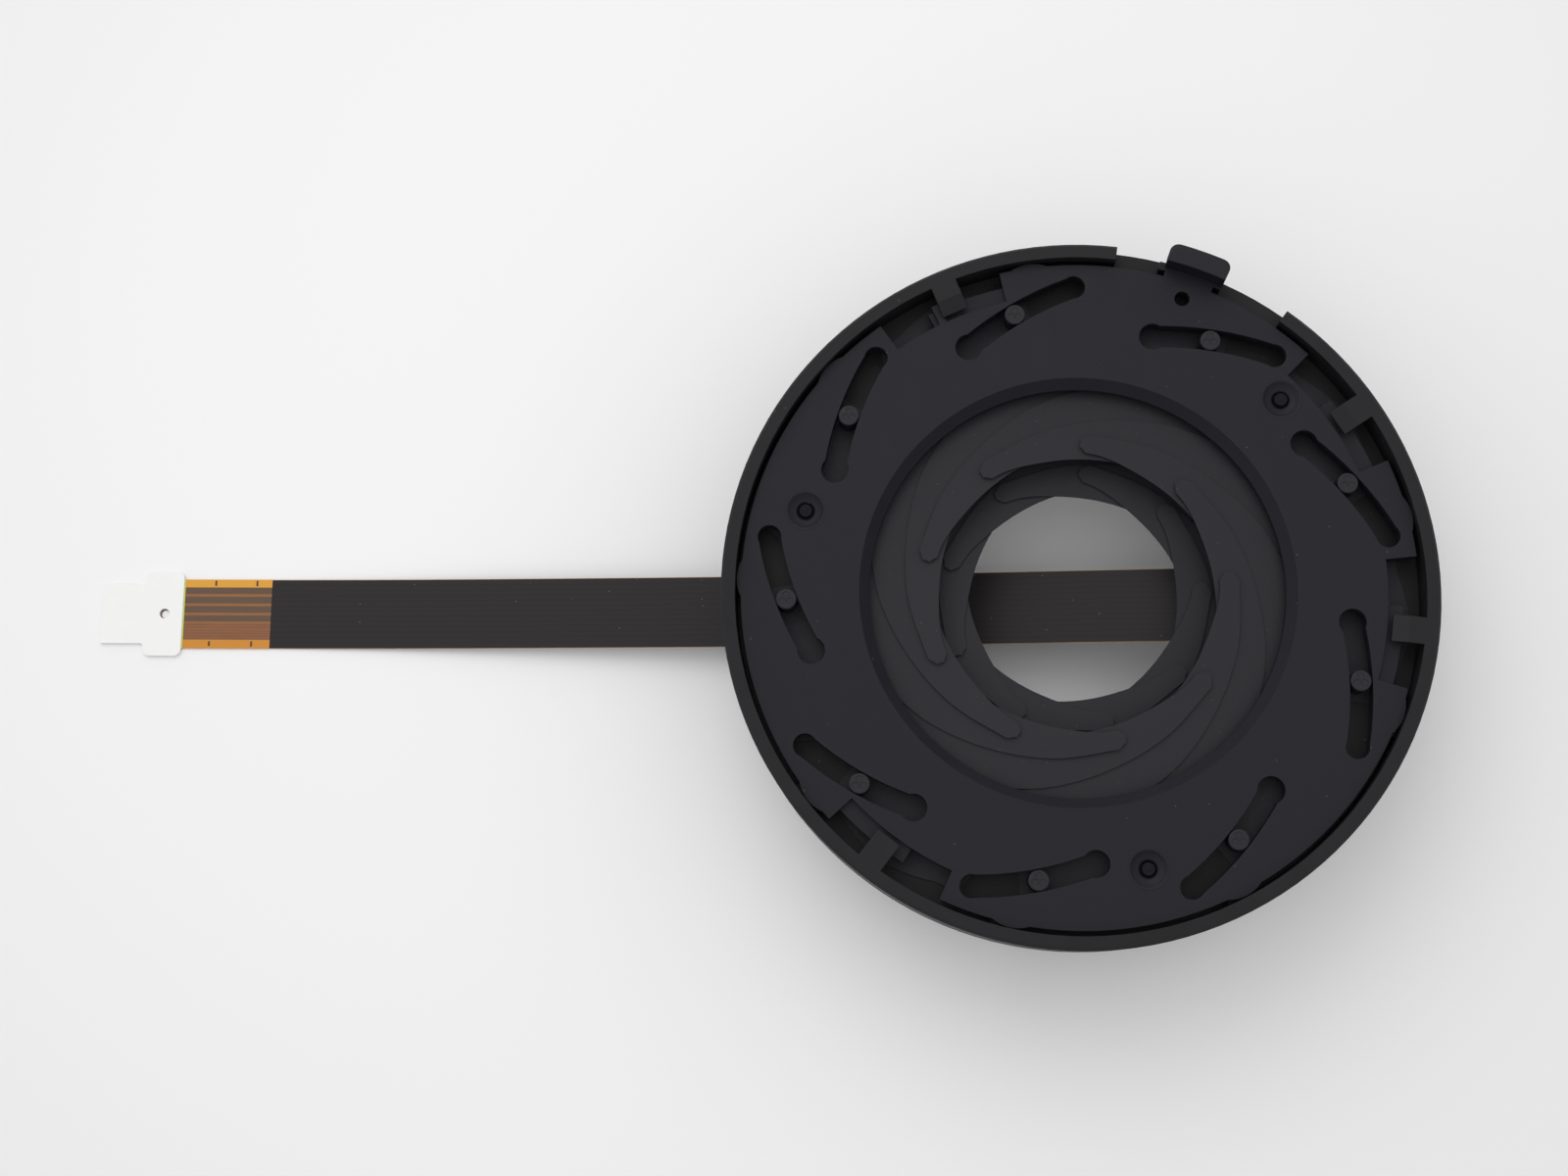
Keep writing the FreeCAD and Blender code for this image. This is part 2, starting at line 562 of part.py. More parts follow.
def leaf_shape(side):
    """Leaf with its pivot pin and cam pin, iris open, pivot on the +X axis."""
    pivot = polar(inside_rim(side + "PivotInset"), 0.0)
    pin = open_pin(side)
    pin_angle = math.degrees(math.atan2(pin.y, pin.x))
    inside_sheet = size("leafThick") / 2
    pivot_mid = leaf_height(side, 0.0) + inside_sheet
    pin_mid = leaf_height(side, pin_angle) + inside_sheet
    if side == "upper":
        pivot_peg = peg(size("pivotPinRadius"), pivot,
                        size("decksHigh") - size("pivotDepth") + size("pinEndGap"), pivot_mid)
        cam_peg = peg(size("camPinRadius"), pin, pin_mid, size("upperPinTop"))
    else:
        pivot_peg = peg(size("pivotPinRadius"), pivot, pivot_mid,
                        size("decksLow") + size("pivotDepth") - size("pinEndGap"))
        cam_peg = peg(size("camPinRadius"), pin, size("discLow") + size("pinEndGap"), pin_mid)
    return leaf_sheet(side).fuse([pivot_peg, cam_peg]).removeSplitter()


def add_leaves(side, label):
    """Nine equal leaves, each turned about its pivot to rest and set round the axis."""
    shape = leaf_shape(side)
    pivot = polar(inside_rim(side + "PivotInset"), 0.0)
    count = int(size("leafCount"))
    swing = FreeCAD.Placement(FreeCAD.Vector(), FreeCAD.Rotation(UP, rest_turn(side)), pivot)
    for number in range(count):
        phase = size(side + "PivotPhase") + 360.0 * number / count
        around = FreeCAD.Placement(FreeCAD.Vector(), FreeCAD.Rotation(UP, phase))
        leaf = keep(shaped("%sLeaf%d" % (side, number + 1), shape), "%s_%d" % (label, number + 1))
        leaf.Placement = around.multiply(swing)


def pin_in_plate(side, turn):
    """Place of a cam pin seen from its turning plate, which has turned from rest; pivot on +X at rest."""
    pivot = polar(inside_rim(side + "PivotInset"), 0.0)
    at_rest = polar(inside_rim(side + "PinInset"), -size(side + "PinLag"))
    swung = pivot + FreeCAD.Rotation(UP, size(side + "Ratio") * turn).multVec(at_rest - pivot)
    return FreeCAD.Rotation(UP, -turn).multVec(swung)


def slot_tool(side, low, high, past_shut):
    """Cutter for one slot: the cam pin's own path in the plate, with clearance and round ends."""
    steps = 8
    first = -size(side + "ToOpen") - size("slotPastOpen")
    last = size(side + "ToShut") + past_shut
    turns = [first + (last - first) * step / steps for step in range(steps + 1)]
    path = [pin_in_plate(side, turn) for turn in turns]
    half = size("camPinRadius") + size("slotClearance")
    sides = ([], [])
    for turn, point in zip(turns, path):
        along = pin_in_plate(side, turn + 0.01) - pin_in_plate(side, turn - 0.01)
        normal = UP.cross(along).normalize()
        sides[0].append(point + normal * half)
        sides[1].append(point - normal * half)
    marks = [step / steps for step in range(steps + 1)]
    edges = [smooth_edge(sides[0], marks), Part.makeLine(sides[0][-1], sides[1][-1]),
             smooth_edge(sides[1], marks), Part.makeLine(sides[1][0], sides[0][0])]
    face = Part.Face(Part.Wire(Part.__sortEdges__(edges)))
    channel = face.extrude(UP * (high - low))
    channel.translate(UP * low)
    lobes = [peg(size("lobeRadius"), path[0], low, high), peg(size("slotEnd"), path[-1], low, high)]
    return channel.fuse(lobes).removeSplitter()


def slot_ring(side, low, high, past_shut):
    """Cutters for all the slots of one plate."""
    tool = slot_tool(side, low, high, past_shut)
    count = int(size("leafCount"))
    tools = []
    for number in range(count):
        turned = tool.copy()
        turned.rotate(FreeCAD.Vector(), UP, size(side + "PivotPhase") + 360.0 * number / count)
        tools.append(turned)
    return shaped(side + "Slots", Part.makeCompound(tools))


# Housing

def make_housing():
    """Wall, partition, screw bosses, carrying ribs and snap hooks, moulded in one."""
    ring = turned_profile("HousingRing", [
        (LIGHT_EDGE, "decksLow"), (INSIDE, "decksLow"), (INSIDE, "wallFoot"),
        ("rimRadius", "wallFoot"), ("rimRadius", "rimTop - rimBevel"),
        ("rimRadius - rimBevel", "rimTop"), (INSIDE, "rimTop"), (INSIDE, "decksHigh"),
        (LIGHT_EDGE, "decksHigh")])
    added = [ring]
    holes = [ring_slice("LeverWindow", INSIDE + " - 0.5", "rimRadius + 1", "windowLow", "rimTop + 1",
                        "windowStart", "windowSweep")]
    for number in range(4):
        step = 90.0 * number
        added.append(cylinder("CoverBoss%d" % number, "bossRadius", "wallFoot", "bossTop",
                              BOSS_CIRCLE, "bossPhase", step))
        holes.append(cylinder("CoverBossHole%d" % number, "bossHole", "wallFoot - 1", "bossTop + 1",
                              BOSS_CIRCLE, "bossPhase", step))
    for number in range(int(size("leafCount"))):
        step = 360.0 * number / size("leafCount")
        holes.append(cylinder("UpperPivotHole%d" % number, "pivotPinRadius + pivotClearance",
                              "decksHigh - pivotDepth", "decksHigh + 1",
                              "rimRadius - upperPivotInset", "upperPivotPhase", step))
        holes.append(cylinder("LowerPivotHole%d" % number, "pivotPinRadius + pivotClearance",
                              "decksLow - 1", "decksLow + pivotDepth",
                              "rimRadius - lowerPivotInset", "lowerPivotPhase", step))
        added.append(bar("SeatRib%d" % number, (INSIDE + " - seatReach", INSIDE + " + wallRoot"),
                         "seatWidth", "decksHigh", "seatTop", "upperPivotPhase + seatOffset", step))
    for number, step in enumerate(HOOK_STEPS):
        added.append(snap_hook("Hook%d" % number, step))
    body = cut("HousingBase", join("HousingSolid", *added), *holes)
    return keep(body, "housing")


def snap_hook(name, step):
    """Hook that reaches in from the rim over the cam plate, bevelled at its tip."""
    arm = bar(name, (INSIDE + " - hookReach", INSIDE + " + wallRoot"), "hookWidth",
              "rimTop - hookThick", "rimTop", "hookPhase", step)
    slope = document.addObject("Part::Wedge", name + "Bevel")
    slope.setExpression("Xmax", "Sizes.hookBevel")
    slope.setExpression("X2max", "0 * Sizes.hookBevel")
    slope.setExpression("Ymax", "Sizes.hookThick - Sizes.rimBevel")
    slope.setExpression("Zmax", "Sizes.hookWidth + 1")
    slope.setExpression("Z2max", "Sizes.hookWidth + 1")
    slope.X2min = 0
    slope.Z2min = 0
    corner = FreeCAD.Vector(amount(INSIDE + " - hookReach"), -size("hookWidth") / 2 - 0.5, size("rimTop"))
    flipped = FreeCAD.Placement(corner, FreeCAD.Rotation(FreeCAD.Vector(1, 0, 0), -90))
    around = FreeCAD.Rotation(UP, size("hookPhase") + step)
    slope.Placement = FreeCAD.Placement(FreeCAD.Vector(), around).multiply(flipped)
    return cut(name + "Bevelled", arm, slope)


# Cam plate with its lever

def make_cam_plate():
    """Flat cam plate: bevelled hole, nine slots, notches with ledges, gate dimples and the lever."""
    disc = turned_profile("PlateDisc", [
        (PLATE_HOLE, "plateLow"), (PLATE_EDGE, "plateLow"), (PLATE_EDGE, "plateHigh"),
        (PLATE_HOLE + " + plateBevel", "plateHigh"), (PLATE_HOLE, "plateHigh - plateBevel")])
    added = [disc]
    for number, angle in enumerate(LOBE_ANGLES):
        added.append(cylinder("Lobe%d" % number, "lobeArc", "plateLow", "plateHigh",
                              PLATE_EDGE + " + lobeHigh - lobeArc", "%g" % angle))
    removed = [slot_ring("upper", size("plateLow") - 1, size("plateHigh") + 1, size("slotPastShut"))]
    for number, step in enumerate(HOOK_STEPS):
        removed.append(ring_slice("Notch%d" % number, NOTCH_FLOOR, PLATE_EDGE + " + 1", "ledgeTop",
                                  "plateHigh + 1", "hookPhase - notchStart", "notchSweep", step))
        removed.append(ring_slice("NotchEdge%d" % number, NOTCH_FLOOR + " + ledgeWidth", PLATE_EDGE + " + 1",
                                  "plateLow - 1", "plateHigh + 1", "hookPhase - notchStart",
                                  "notchSweep", step))
        removed.append(ring_slice("NotchOpen%d" % number, NOTCH_FLOOR, PLATE_EDGE + " + 1",
                                  "plateLow - 1", "plateHigh + 1",
                                  "hookPhase - notchStart + ledgeSweep", "notchSweep - ledgeSweep", step))
    for number in range(3):
        step = 120.0 * number
        removed.append(gate_dimple("Dimple%d" % number, step))
    rib = bar("LedgeRib", (NOTCH_FLOOR + " - wallRoot", NOTCH_FLOOR + " + ribLength"), "ribWidth",
              "plateLow", "plateHigh", "hookPhase - notchStart + ribAngle", HOOK_STEPS[1])
    added.append(bar("LeverNeck", (PLATE_EDGE + " - neckWidth", PLATE_EDGE + " + neckLength"),
                     "neckWidth", "plateLow", "plateHigh", "leverAngle"))
    half = size("paddleSweep") / 2
    added.append(ring_slice("Paddle", "rimRadius - paddleInset", "rimRadius + paddleProud - paddleStep",
                            "plateLow", "paddleHigh", "leverAngle", "paddleSweep", -half))
    added.append(ring_slice("PaddleBand", "rimRadius - paddleInset", "rimRadius + paddleProud",
                            "plateLow", "paddleStepHigh", "leverAngle", "paddleSweep", -half))
    added.append(ring_slice("PaddleEars", "rimRadius - earInset", "rimRadius - earInset + earThick",
                            "plateLow", "plateHigh", "leverAngle", "earSweep", -size("earSweep") / 2))
    removed.append(cylinder("LeverHole", "leverHole", "plateLow - 1", "plateHigh + 1",
                            PLATE_EDGE + " - leverHoleInset", "leverAngle"))
    carved = cut("CamPlateCarved", join("CamPlateSolid", *added), *removed)
    return keep(join("CamPlate", carved, rib), "cam_plate")


def gate_dimple(name, step):
    """Bowl with a central nub: the mark of a moulding gate."""
    bowl = document.addObject("Part::Cone", name + "Bowl")
    bowl.setExpression("Radius2", "Sizes.dimpleRadius")
    bowl.setExpression("Radius1", "Sizes.dimpleRadius - Sizes.dimpleDepth")
    bowl.setExpression("Height", "Sizes.dimpleDepth")
    turn = "(Sizes.dimplePhase + %g) * 1 deg" % step
    circle = "(%s)" % formula(PLATE_EDGE + " - dimpleInset")
    bowl.setExpression("Placement.Base.x", "%s * cos(%s)" % (circle, turn))
    bowl.setExpression("Placement.Base.y", "%s * sin(%s)" % (circle, turn))
    bowl.setExpression("Placement.Base.z", "Sizes.plateHigh - Sizes.dimpleDepth")
    nub = cylinder(name + "Nub", "nubRadius", "plateHigh - dimpleDepth - 0.1",
                   "plateHigh - 0.2", PLATE_EDGE + " - dimpleInset", "dimplePhase", step)
    return cut(name, bowl, nub)


# Drive ring, pinion and their teeth

def tooth_face(teeth, addendum):
    """One tooth about the +X axis, with involute flanks, reaching a little under its root circle."""
    pitch = size("gearModule") * teeth / 2.0
    slant = math.radians(size("pressureAngle"))
    base = pitch * math.cos(slant)
    outer = pitch + addendum
    root = pitch - size("dedendum")
    half_thick = (math.pi * size("gearModule") / 2.0 - size("backlash")) / 2.0 / pitch
    half_base = half_thick + math.tan(slant) - slant
    start = max(base, root)
    flank = []
    steps = 4
    for step in range(steps + 1):
        radius = start + (outer - start) * step / steps
        reach = math.sqrt(max((radius / base) ** 2 - 1.0, 0.0))
        half = half_base - (reach - math.atan(reach))
        flank.append(FreeCAD.Vector(radius * math.cos(half), radius * math.sin(half), 0))
    foot_radius = root - size("toothRoot")
    foot = FreeCAD.Vector(foot_radius * math.cos(half_base), foot_radius * math.sin(half_base), 0)
    upper = [foot] + flank
    lower = [FreeCAD.Vector(point.x, -point.y, 0) for point in reversed(upper)]
    return Part.Face(Part.makePolygon(lower + upper + [lower[0]]))


def teeth_solids(teeth, addendum, count, first_angle, low, high):
    """Row of teeth round the axis; the first stands at a given angle."""
    face = tooth_face(teeth, addendum)
    solids = []
    for number in range(count):
        tooth = face.extrude(UP * (high - low))
        tooth.translate(UP * low)
        tooth.rotate(FreeCAD.Vector(), UP, first_angle + 360.0 * number / teeth)
        solids.append(tooth)
    return solids


def gear_distance():
    """Distance from the optical axis to the pinion's axis."""
    return inside_rim("motorInset")


def full_circle_teeth():
    """Teeth that the drive ring would have if its sector went all the way round."""
    pitch = gear_distance() - size("gearModule") * size("pinionTeeth") / 2.0
    return 2.0 * pitch / size("gearModule")


def make_drive_ring():
    """Drive ring: hub on the collar, toothed sector, slotted disc and the sensor's flag."""
    root = GEAR_CIRCLE + " - 0.5*gearModule*pinionTeeth - dedendum"
    edge = INSIDE + " - discGap"
    ring = turned_profile("RingHub", [
        (RING_BORE, "ringLow"), (root, "ringLow"), (root, "discLow"), (edge, "discLow"),
        (edge, "discHigh"), (RING_BORE, "discHigh")])
    teeth = full_circle_teeth()
    count = int(size("ringTeethCut"))
    step = 360.0 / teeth
    middle = size("motorAngle") + (size("lowerToOpen") - size("lowerToShut")) / 2.0
    behind = math.floor((middle - size("motorAngle")) / step) - count // 2
    first = size("motorAngle") + (behind + 0.5) * step
    row = teeth_solids(teeth, size("ringAddendum"), count, first, size("gearLow"), size("discLow"))
    solid = join("DriveRingSolid", ring, shaped("RingTeeth", Part.makeCompound(row)),
                 ring_slice("SensorFlag", FLAG_INNER, FLAG_OUTER, "flagLow", "ringLow + 0.2",
                            "flagStart", "flagSweep"))
    slots = slot_ring("lower", size("discLow") - 1, size("discHigh") + 1, size("ringSlotPastShut"))
    return keep(cut("DriveRing", solid, slots), "drive_ring")


def make_pinion():
    """Twelve-tooth pinion on the motor's shaft, one tooth pointing at the optical axis."""
    teeth = int(size("pinionTeeth"))
    low = size("pinionLow")
    high = size("pinionHigh")
    root = size("gearModule") * teeth / 2.0 - size("dedendum")
    row = teeth_solids(teeth, size("pinionAddendum"), teeth, size("motorAngle") + 180.0, low, high)
    hub = Part.makeCylinder(root, high - low, UP * low, UP)
    gear = hub.fuse(row).removeSplitter()
    bore = Part.makeCylinder(size("shaftRadius"), high - low, UP * low, UP)
    pinion = shaped("Pinion", gear.cut(bore))
    pinion.Placement.Base = polar(gear_distance(), size("motorAngle"))
    return keep(pinion, "drive_pinion")


# Bottom cover and its screws

def make_cover():
    """Bottom cover with the drive ring's collar, three mounting posts and its openings."""
    disc = turned_profile("CoverDisc", [
        (COVER_HOLE, "coverLow"), ("rimRadius - coverInset", "coverLow"),
        ("rimRadius - coverInset", "wallFoot"),
        (COLLAR_OUTER, "wallFoot"), (COLLAR_OUTER, "collarTop"),
        (COLLAR_INNER, "collarTop"), (COLLAR_INNER, "wallFoot"), (COVER_HOLE, "wallFoot")])
    added = [disc]
    holes = []
    for number in range(3):
        step = 120.0 * number
        added.append(cylinder("Post%d" % number, "postRadius", "0", "coverLow + 0.3",
                              POST_CIRCLE, "postPhase", step))
        holes.append(cylinder("PostHole%d" % number, "postHole", "0 - 1", "postDepth",
                              POST_CIRCLE, "postPhase", step))
    for number in range(4):
        holes.append(cylinder("CoverHole%d" % number, "bossHole + 0.05", "coverLow - 1",
                              "wallFoot + 1", BOSS_CIRCLE, "bossPhase", 90.0 * number))
    for number, offset in enumerate((1, -1)):
        added.append(at_motor(cylinder("FlangeBoss%d" % number, "coverBossRadius", "coverLow + 0.2",
                                       "coverBossTop"), offset))
        holes.append(at_motor(cylinder("FlangeHole%d" % number, "flangeScrewShank + 0.05",
                                       "coverLow - 1", "coverBossTop + 1"), offset))
    holes.append(at_motor(cylinder("PinionRoom", "pinionRoom", "coverLow - 1", "wallFoot + 1"), 0))
    holes.append(flag_slot("CoverSlot", "coverLow - 1", "wallFoot + 1"))
    return keep(cut("BottomCover", join("CoverSolid", *added), *holes), "bottom_cover")


def flag_slot(name, low, high):
    """Opening that the drive ring's flag sweeps through."""
    return ring_slice(name, FLAG_INNER + " - flagRoom", FLAG_OUTER + " + flagRoom", low, high,
                      "flagStart - lowerToOpen - flagEndRoom",
                      "flagSweep + lowerToOpen + lowerToShut + 2*flagEndRoom")


def at_motor(thing, side):
    """Moves a piece to the motor's axis, or to the flange ear on one side of it."""
    reach = "(%s)" % formula(GEAR_CIRCLE)
    turn = "Sizes.motorAngle * 1 deg"
    across = "%d * Sizes.earOffset" % side
    thing.setExpression("Placement.Base.x", "%s * cos(%s) - %s * sin(%s)" % (reach, turn, across, turn))
    thing.setExpression("Placement.Base.y", "%s * sin(%s) + %s * cos(%s)" % (reach, turn, across, turn))
    return thing


def make_cover_screws():
    """Four screws that hold the cover to the housing's bosses."""
    screws = []
    for number in range(4):
        step = 90.0 * number
        head = cylinder("ScrewHead%d" % number, "screwHead", "coverLow - screwHeadHigh", "coverLow",
                        BOSS_CIRCLE, "bossPhase", step)
        shank = cylinder("ScrewShank%d" % number, "screwShank", "coverLow - 0.2", "screwEnd",
                         BOSS_CIRCLE, "bossPhase", step)
        recess = cylinder("ScrewRecess%d" % number, "screwShank", "coverLow - screwHeadHigh - 1",
                          "coverLow - screwHeadHigh + screwRecess", BOSS_CIRCLE, "bossPhase", step)
        screws.append(cut("Screw%d" % number, join("ScrewBody%d" % number, head, shank), recess))
    return keep(group("CoverScrews", *screws), "cover_screws")


# Motor

def make_motor():
    """Small stepper motor: can, coils, flange with ears, magnet rotor, shaft, block and terminals."""
    can = cut("MotorCan", at_motor(cylinder("CanOutside", "motorRadius", "motorLow", "motorHigh"), 0),
              at_motor(cylinder("CanInside", "motorRadius - motorWall", "motorLow + motorFloor",
                                "motorHigh + 1"), 0),
              at_motor(cylinder("CanBearing", "shaftRadius + shaftGap", "shaftLow - 0.05",
                                "motorHigh"), 0))
    keep(can, "motor_can")
    for number, label in enumerate(("motor_coil_lower", "motor_coil_upper")):
        low = "coilLow" + " + coilStep" * number
        coil = cut("Coil%d" % number,
                   at_motor(cylinder("CoilOutside%d" % number, "coilOuter", low, low + " + coilHigh"), 0),
                   at_motor(cylinder("CoilInside%d" % number, "coilInner", low, low + " + coilHigh"), 0))
        keep(coil, label)
    ears = []
    holes = [at_motor(cylinder("FlangeBearing", "shaftRadius + shaftGap", "motorHigh - 1",
                               "flangeBossTop + 1"), 0)]
    for number, side in enumerate((1, -1)):
        ears.append(at_motor(cylinder("Ear%d" % number, "earRadius", "motorHigh", "coverLow"), side))
        holes.append(at_motor(cylinder("EarHole%d" % number, "earHole", "motorHigh - 1",
                                       "coverLow + 1"), side))
    web = document.addObject("Part::Box", "EarWeb")
    web.setExpression("Length", "2 * Sizes.earRadius")
    web.setExpression("Width", "2 * Sizes.earOffset")
    web.setExpression("Height", "Sizes.coverLow - Sizes.motorHigh")
    web.setExpression("Placement.Base.z", "Sizes.motorHigh")
    reach = "(%s)" % formula(GEAR_CIRCLE + " - earRadius")
    turn = "Sizes.motorAngle * 1 deg"
    web.Placement.Rotation = FreeCAD.Rotation(UP, 1)
    web.setExpression("Placement.Rotation.Angle", "Sizes.motorAngle")
    web.setExpression("Placement.Base.x", "%s * cos(%s) + Sizes.earOffset * sin(%s)" % (reach, turn, turn))
    web.setExpression("Placement.Base.y", "%s * sin(%s) - Sizes.earOffset * cos(%s)" % (reach, turn, turn))
    boss = at_motor(cylinder("FlangeNose", "flangeBoss", "motorHigh", "flangeBossTop"), 0)
    top = at_motor(cylinder("FlangeDisc", "motorRadius", "motorHigh", "coverLow"), 0)
    keep(cut("MotorFlange", join("FlangeSolid", top, web, boss, *ears), *holes), "motor_flange")
    magnet = cut("RotorMagnet",
                 at_motor(cylinder("MagnetOutside", "magnetRadius", "magnetLow", "magnetHigh"), 0),
                 at_motor(cylinder("MagnetBore", "shaftRadius", "magnetLow", "magnetHigh"), 0))
    keep(magnet, "rotor_magnet")
    keep(at_motor(cylinder("RotorShaft", "shaftRadius", "shaftLow", "pinionHigh"), 0), "rotor_shaft")
    make_motor_terminals()
    make_motor_screws()


def make_motor_terminals():
    """Terminal block on the can's inner side, with pins that are soldered to the flexible circuit."""
    under_flex = "coverLow - flexThick"
    top = under_flex + " - terminalSize"
    inner = GEAR_CIRCLE + " - motorRadius - blockDepth"
    block = bar("BlockBox", (inner, GEAR_CIRCLE), "blockWidth", top + " - blockHigh", top, "motorAngle")
    room = at_motor(cylinder("BlockRoom", "motorRadius", "motorLow", "coverLow"), 0)
    keep(cut("TerminalBlock", block, room), "motor_terminal_block")
    pins = []
    count = int(size("terminalCount"))
    for number in range(count):
        place = "%g*terminalPitch" % number + " - %g*terminalPitch" % ((count - 1) / 2.0)
        pins.append(bar("Terminal%d" % number, (inner + " - terminalReach", inner + " + blockDepth"),
                        "terminalSize", top, under_flex, "motorAngle", shift=place))
    keep(group("MotorTerminals", *pins), "motor_terminals")


def make_motor_screws():
    """Two screws through the flange's ears into the cover's bosses."""
    screws = []
    for number, side in enumerate((1, -1)):
        head = at_motor(cylinder("FlangeScrewHead%d" % number, "flangeScrewHead",
                                 "motorHigh - flangeScrewHeadHigh", "motorHigh"), side)
        shank = at_motor(cylinder("FlangeScrewShank%d" % number, "flangeScrewShank",
                                  "motorHigh - 0.2", "flangeScrewEnd"), side)
        recess = at_motor(cylinder("FlangeScrewRecess%d" % number, "flangeScrewShank",
                                   "motorHigh - flangeScrewHeadHigh - 1",
                                   "motorHigh - flangeScrewHeadHigh + screwRecess"), side)
        screws.append(cut("FlangeScrew%d" % number,
                          join("FlangeScrewBody%d" % number, head, shank), recess))
    keep(group("MotorScrews", *screws), "motor_screws")


# Sensor

def make_sensor():
    """Photo interrupter: a block with a channel for the flag, and its leads."""
    top = "coverLow - flexThick"
    block = bar("SensorBlock", (SENSOR_INNER, SENSOR_OUTER), "sensorWidth", "sensorLow", top,
                "sensorAngle")
    channel = flag_slot("SensorChannel", "sensorLow + sensorFloor", "coverLow")
    keep(cut("PhotoInterrupter", block, channel), "photo_interrupter")
    leads = []
    count = int(size("leadCount"))
    for number in range(count):
        radial = ((SENSOR_INNER + " - leadReach", SENSOR_INNER) if number < 2
                  else (SENSOR_OUTER, SENSOR_OUTER + " + leadReach"))
        place = "leadSpread" if number % 2 else "0 - leadSpread"
        leads.append(bar("Lead%d" % number, radial, "leadSize", top + " - leadSize", top,
                         "sensorAngle", shift=place))
    keep(group("SensorLeads", *leads), "sensor_leads")


# Flexible circuit

def make_fixed_flex():
    """Part of the circuit that lies flat under the cover, with the root of the ribbon."""
    top = "coverLow"
    low = "coverLow - flexThick"
    arc = ring_slice("FlexArc", FLEX_INNER, "rimRadius - flexOuterInset", low, top, "flexStart", "flexSweep")
    arm = ring_slice("FlexArm", "rimRadius - armInnerInset", "rimRadius - armOuterInset", low, top,
                     "flexArmStart", "flexStart - flexArmStart + armLap")
    root = document.addObject("Part::Box", "FlexRoot")
    root.setExpression("Length", "Sizes.rootLength + Sizes.rootLap")
    root.setExpression("Width", "Sizes.ribbonWidth")
    root.setExpression("Height", "Sizes.flexThick")
    root.setExpression("Placement.Base.x", formula(FLEX_INNER + " - rootLength"))
    root.setExpression("Placement.Base.y", "Sizes.ribbonOffset - Sizes.ribbonWidth / 2")
    root.setExpression("Placement.Base.z", "Sizes.coverLow - Sizes.flexThick")
    slot = flag_slot("FlexSlot", "coverLow - 1", "coverLow + 1")
    return keep(cut("FlexBoard", join("FlexSolid", arc, arm, root), slot), "flex_board")


def rounded_path(points):
    """Straight runs joined by tangent arcs, each as large as its two shorter runs allow."""
    edges = []
    start = points[0]
    for before, corner, after in zip(points, points[1:], points[2:]):
        into = corner - before
        out = after - corner
        half_turn = into.getAngle(out) / 2.0
        radius = 0.45 * min(into.Length, out.Length) / math.tan(half_turn)
        setback = radius * math.tan(half_turn)
        first = corner - into.normalize() * setback
        last = corner + out.normalize() * setback
        inward = (out - into).normalize()
        middle = corner + inward * (radius / math.cos(half_turn) - radius)
        edges.append(Part.LineSegment(start, first).toShape())
        edges.append(Part.Arc(first, middle, last).toShape())
        start = last
    edges.append(Part.LineSegment(start, points[-1]).toShape())
    return Part.Wire(edges), sum(edge.Length for edge in edges)


def make_ribbon():
    """Free ribbon, from under the cover across the light path down to the foot plane."""
    side = size("ribbonOffset") - size("ribbonWidth") / 2.0
    middle = size("coverLow") - size("flexThick") / 2.0
    route = ((amount(FLEX_INNER + " - rootLength"), middle),) + RIBBON_ROUTE
    points = [FreeCAD.Vector(across, side, up) for across, up in route]
    path, length = rounded_path(points)
    half = size("flexThick") / 2.0
    first = points[0]
    along = (points[1] - points[0]).normalize()
    normal = along.cross(FreeCAD.Vector(0, 1, 0)).normalize()
    ends = [first + normal * half, first - normal * half]
    width = FreeCAD.Vector(0, size("ribbonWidth"), 0)
    section = Part.makePolygon([ends[0], ends[1], ends[1] + width, ends[0] + width, ends[0]])
    ribbon = path.makePipeShell([section], True, False)
    volume = length * size("flexThick") * size("ribbonWidth")
    print("ribbon length %.2f mm, volume %.2f against %.2f" % (length, ribbon.Volume, volume))
    return keep(shaped("Ribbon", ribbon), "flex_ribbon")


def make_ribbon_end():
    """Bare amber stretch, white stiffener with ears and hole, and the contacts under its tip."""
    end = RIBBON_ROUTE[-1][0]
    low = size("endLift")
    centre = size("ribbonOffset")
    window_end = end - size("windowLength")
    wide = size("ribbonWidth")
    window = Part.makeBox(size("windowLength"), wide, size("flexThick"),
                          FreeCAD.Vector(window_end, centre - wide / 2, low))
    keep(shaped("FlexWindow", window), "flex_window")
    ears = size("stiffEars")
    ears_end = window_end - ears
    tip_end = window_end - size("stiffLength")
    broad = size("stiffWide")
    narrow = size("stiffNarrow")
    thick = size("stiffThick")
    block = Part.makeBox(ears, broad, thick, FreeCAD.Vector(ears_end, centre - broad / 2, low))
    corners = [edge for edge in block.Edges if edge.BoundBox.ZLength > thick / 2]
    block = block.makeFillet(size("earRound"), corners)
    tip = Part.makeBox(ears_end - tip_end + ears / 2, narrow, thick,
                       FreeCAD.Vector(tip_end, centre - narrow / 2, low))
    hole = Part.makeCylinder(size("stiffHole"), thick + 2,
                             FreeCAD.Vector(window_end - size("stiffHoleBack"), centre, low - 1), UP)
    stiffener = block.fuse(tip).removeSplitter().cut(hole)
    keep(shaped("Stiffener", stiffener), "flex_stiffener")
    contacts = []
    count = int(size("contactCount"))
    for number in range(count):
        offset = (number - (count - 1) / 2.0) * size("contactPitch")
        corner = FreeCAD.Vector(tip_end + size("contactBack"), centre + offset - size("contactWidth") / 2,
                                low - size("contactThick"))
        contacts.append(Part.makeBox(size("contactLength"), size("contactWidth"),
                                     size("contactThick"), corner))
    keep(shaped("Contacts", Part.makeCompound(contacts)), "flex_contacts")


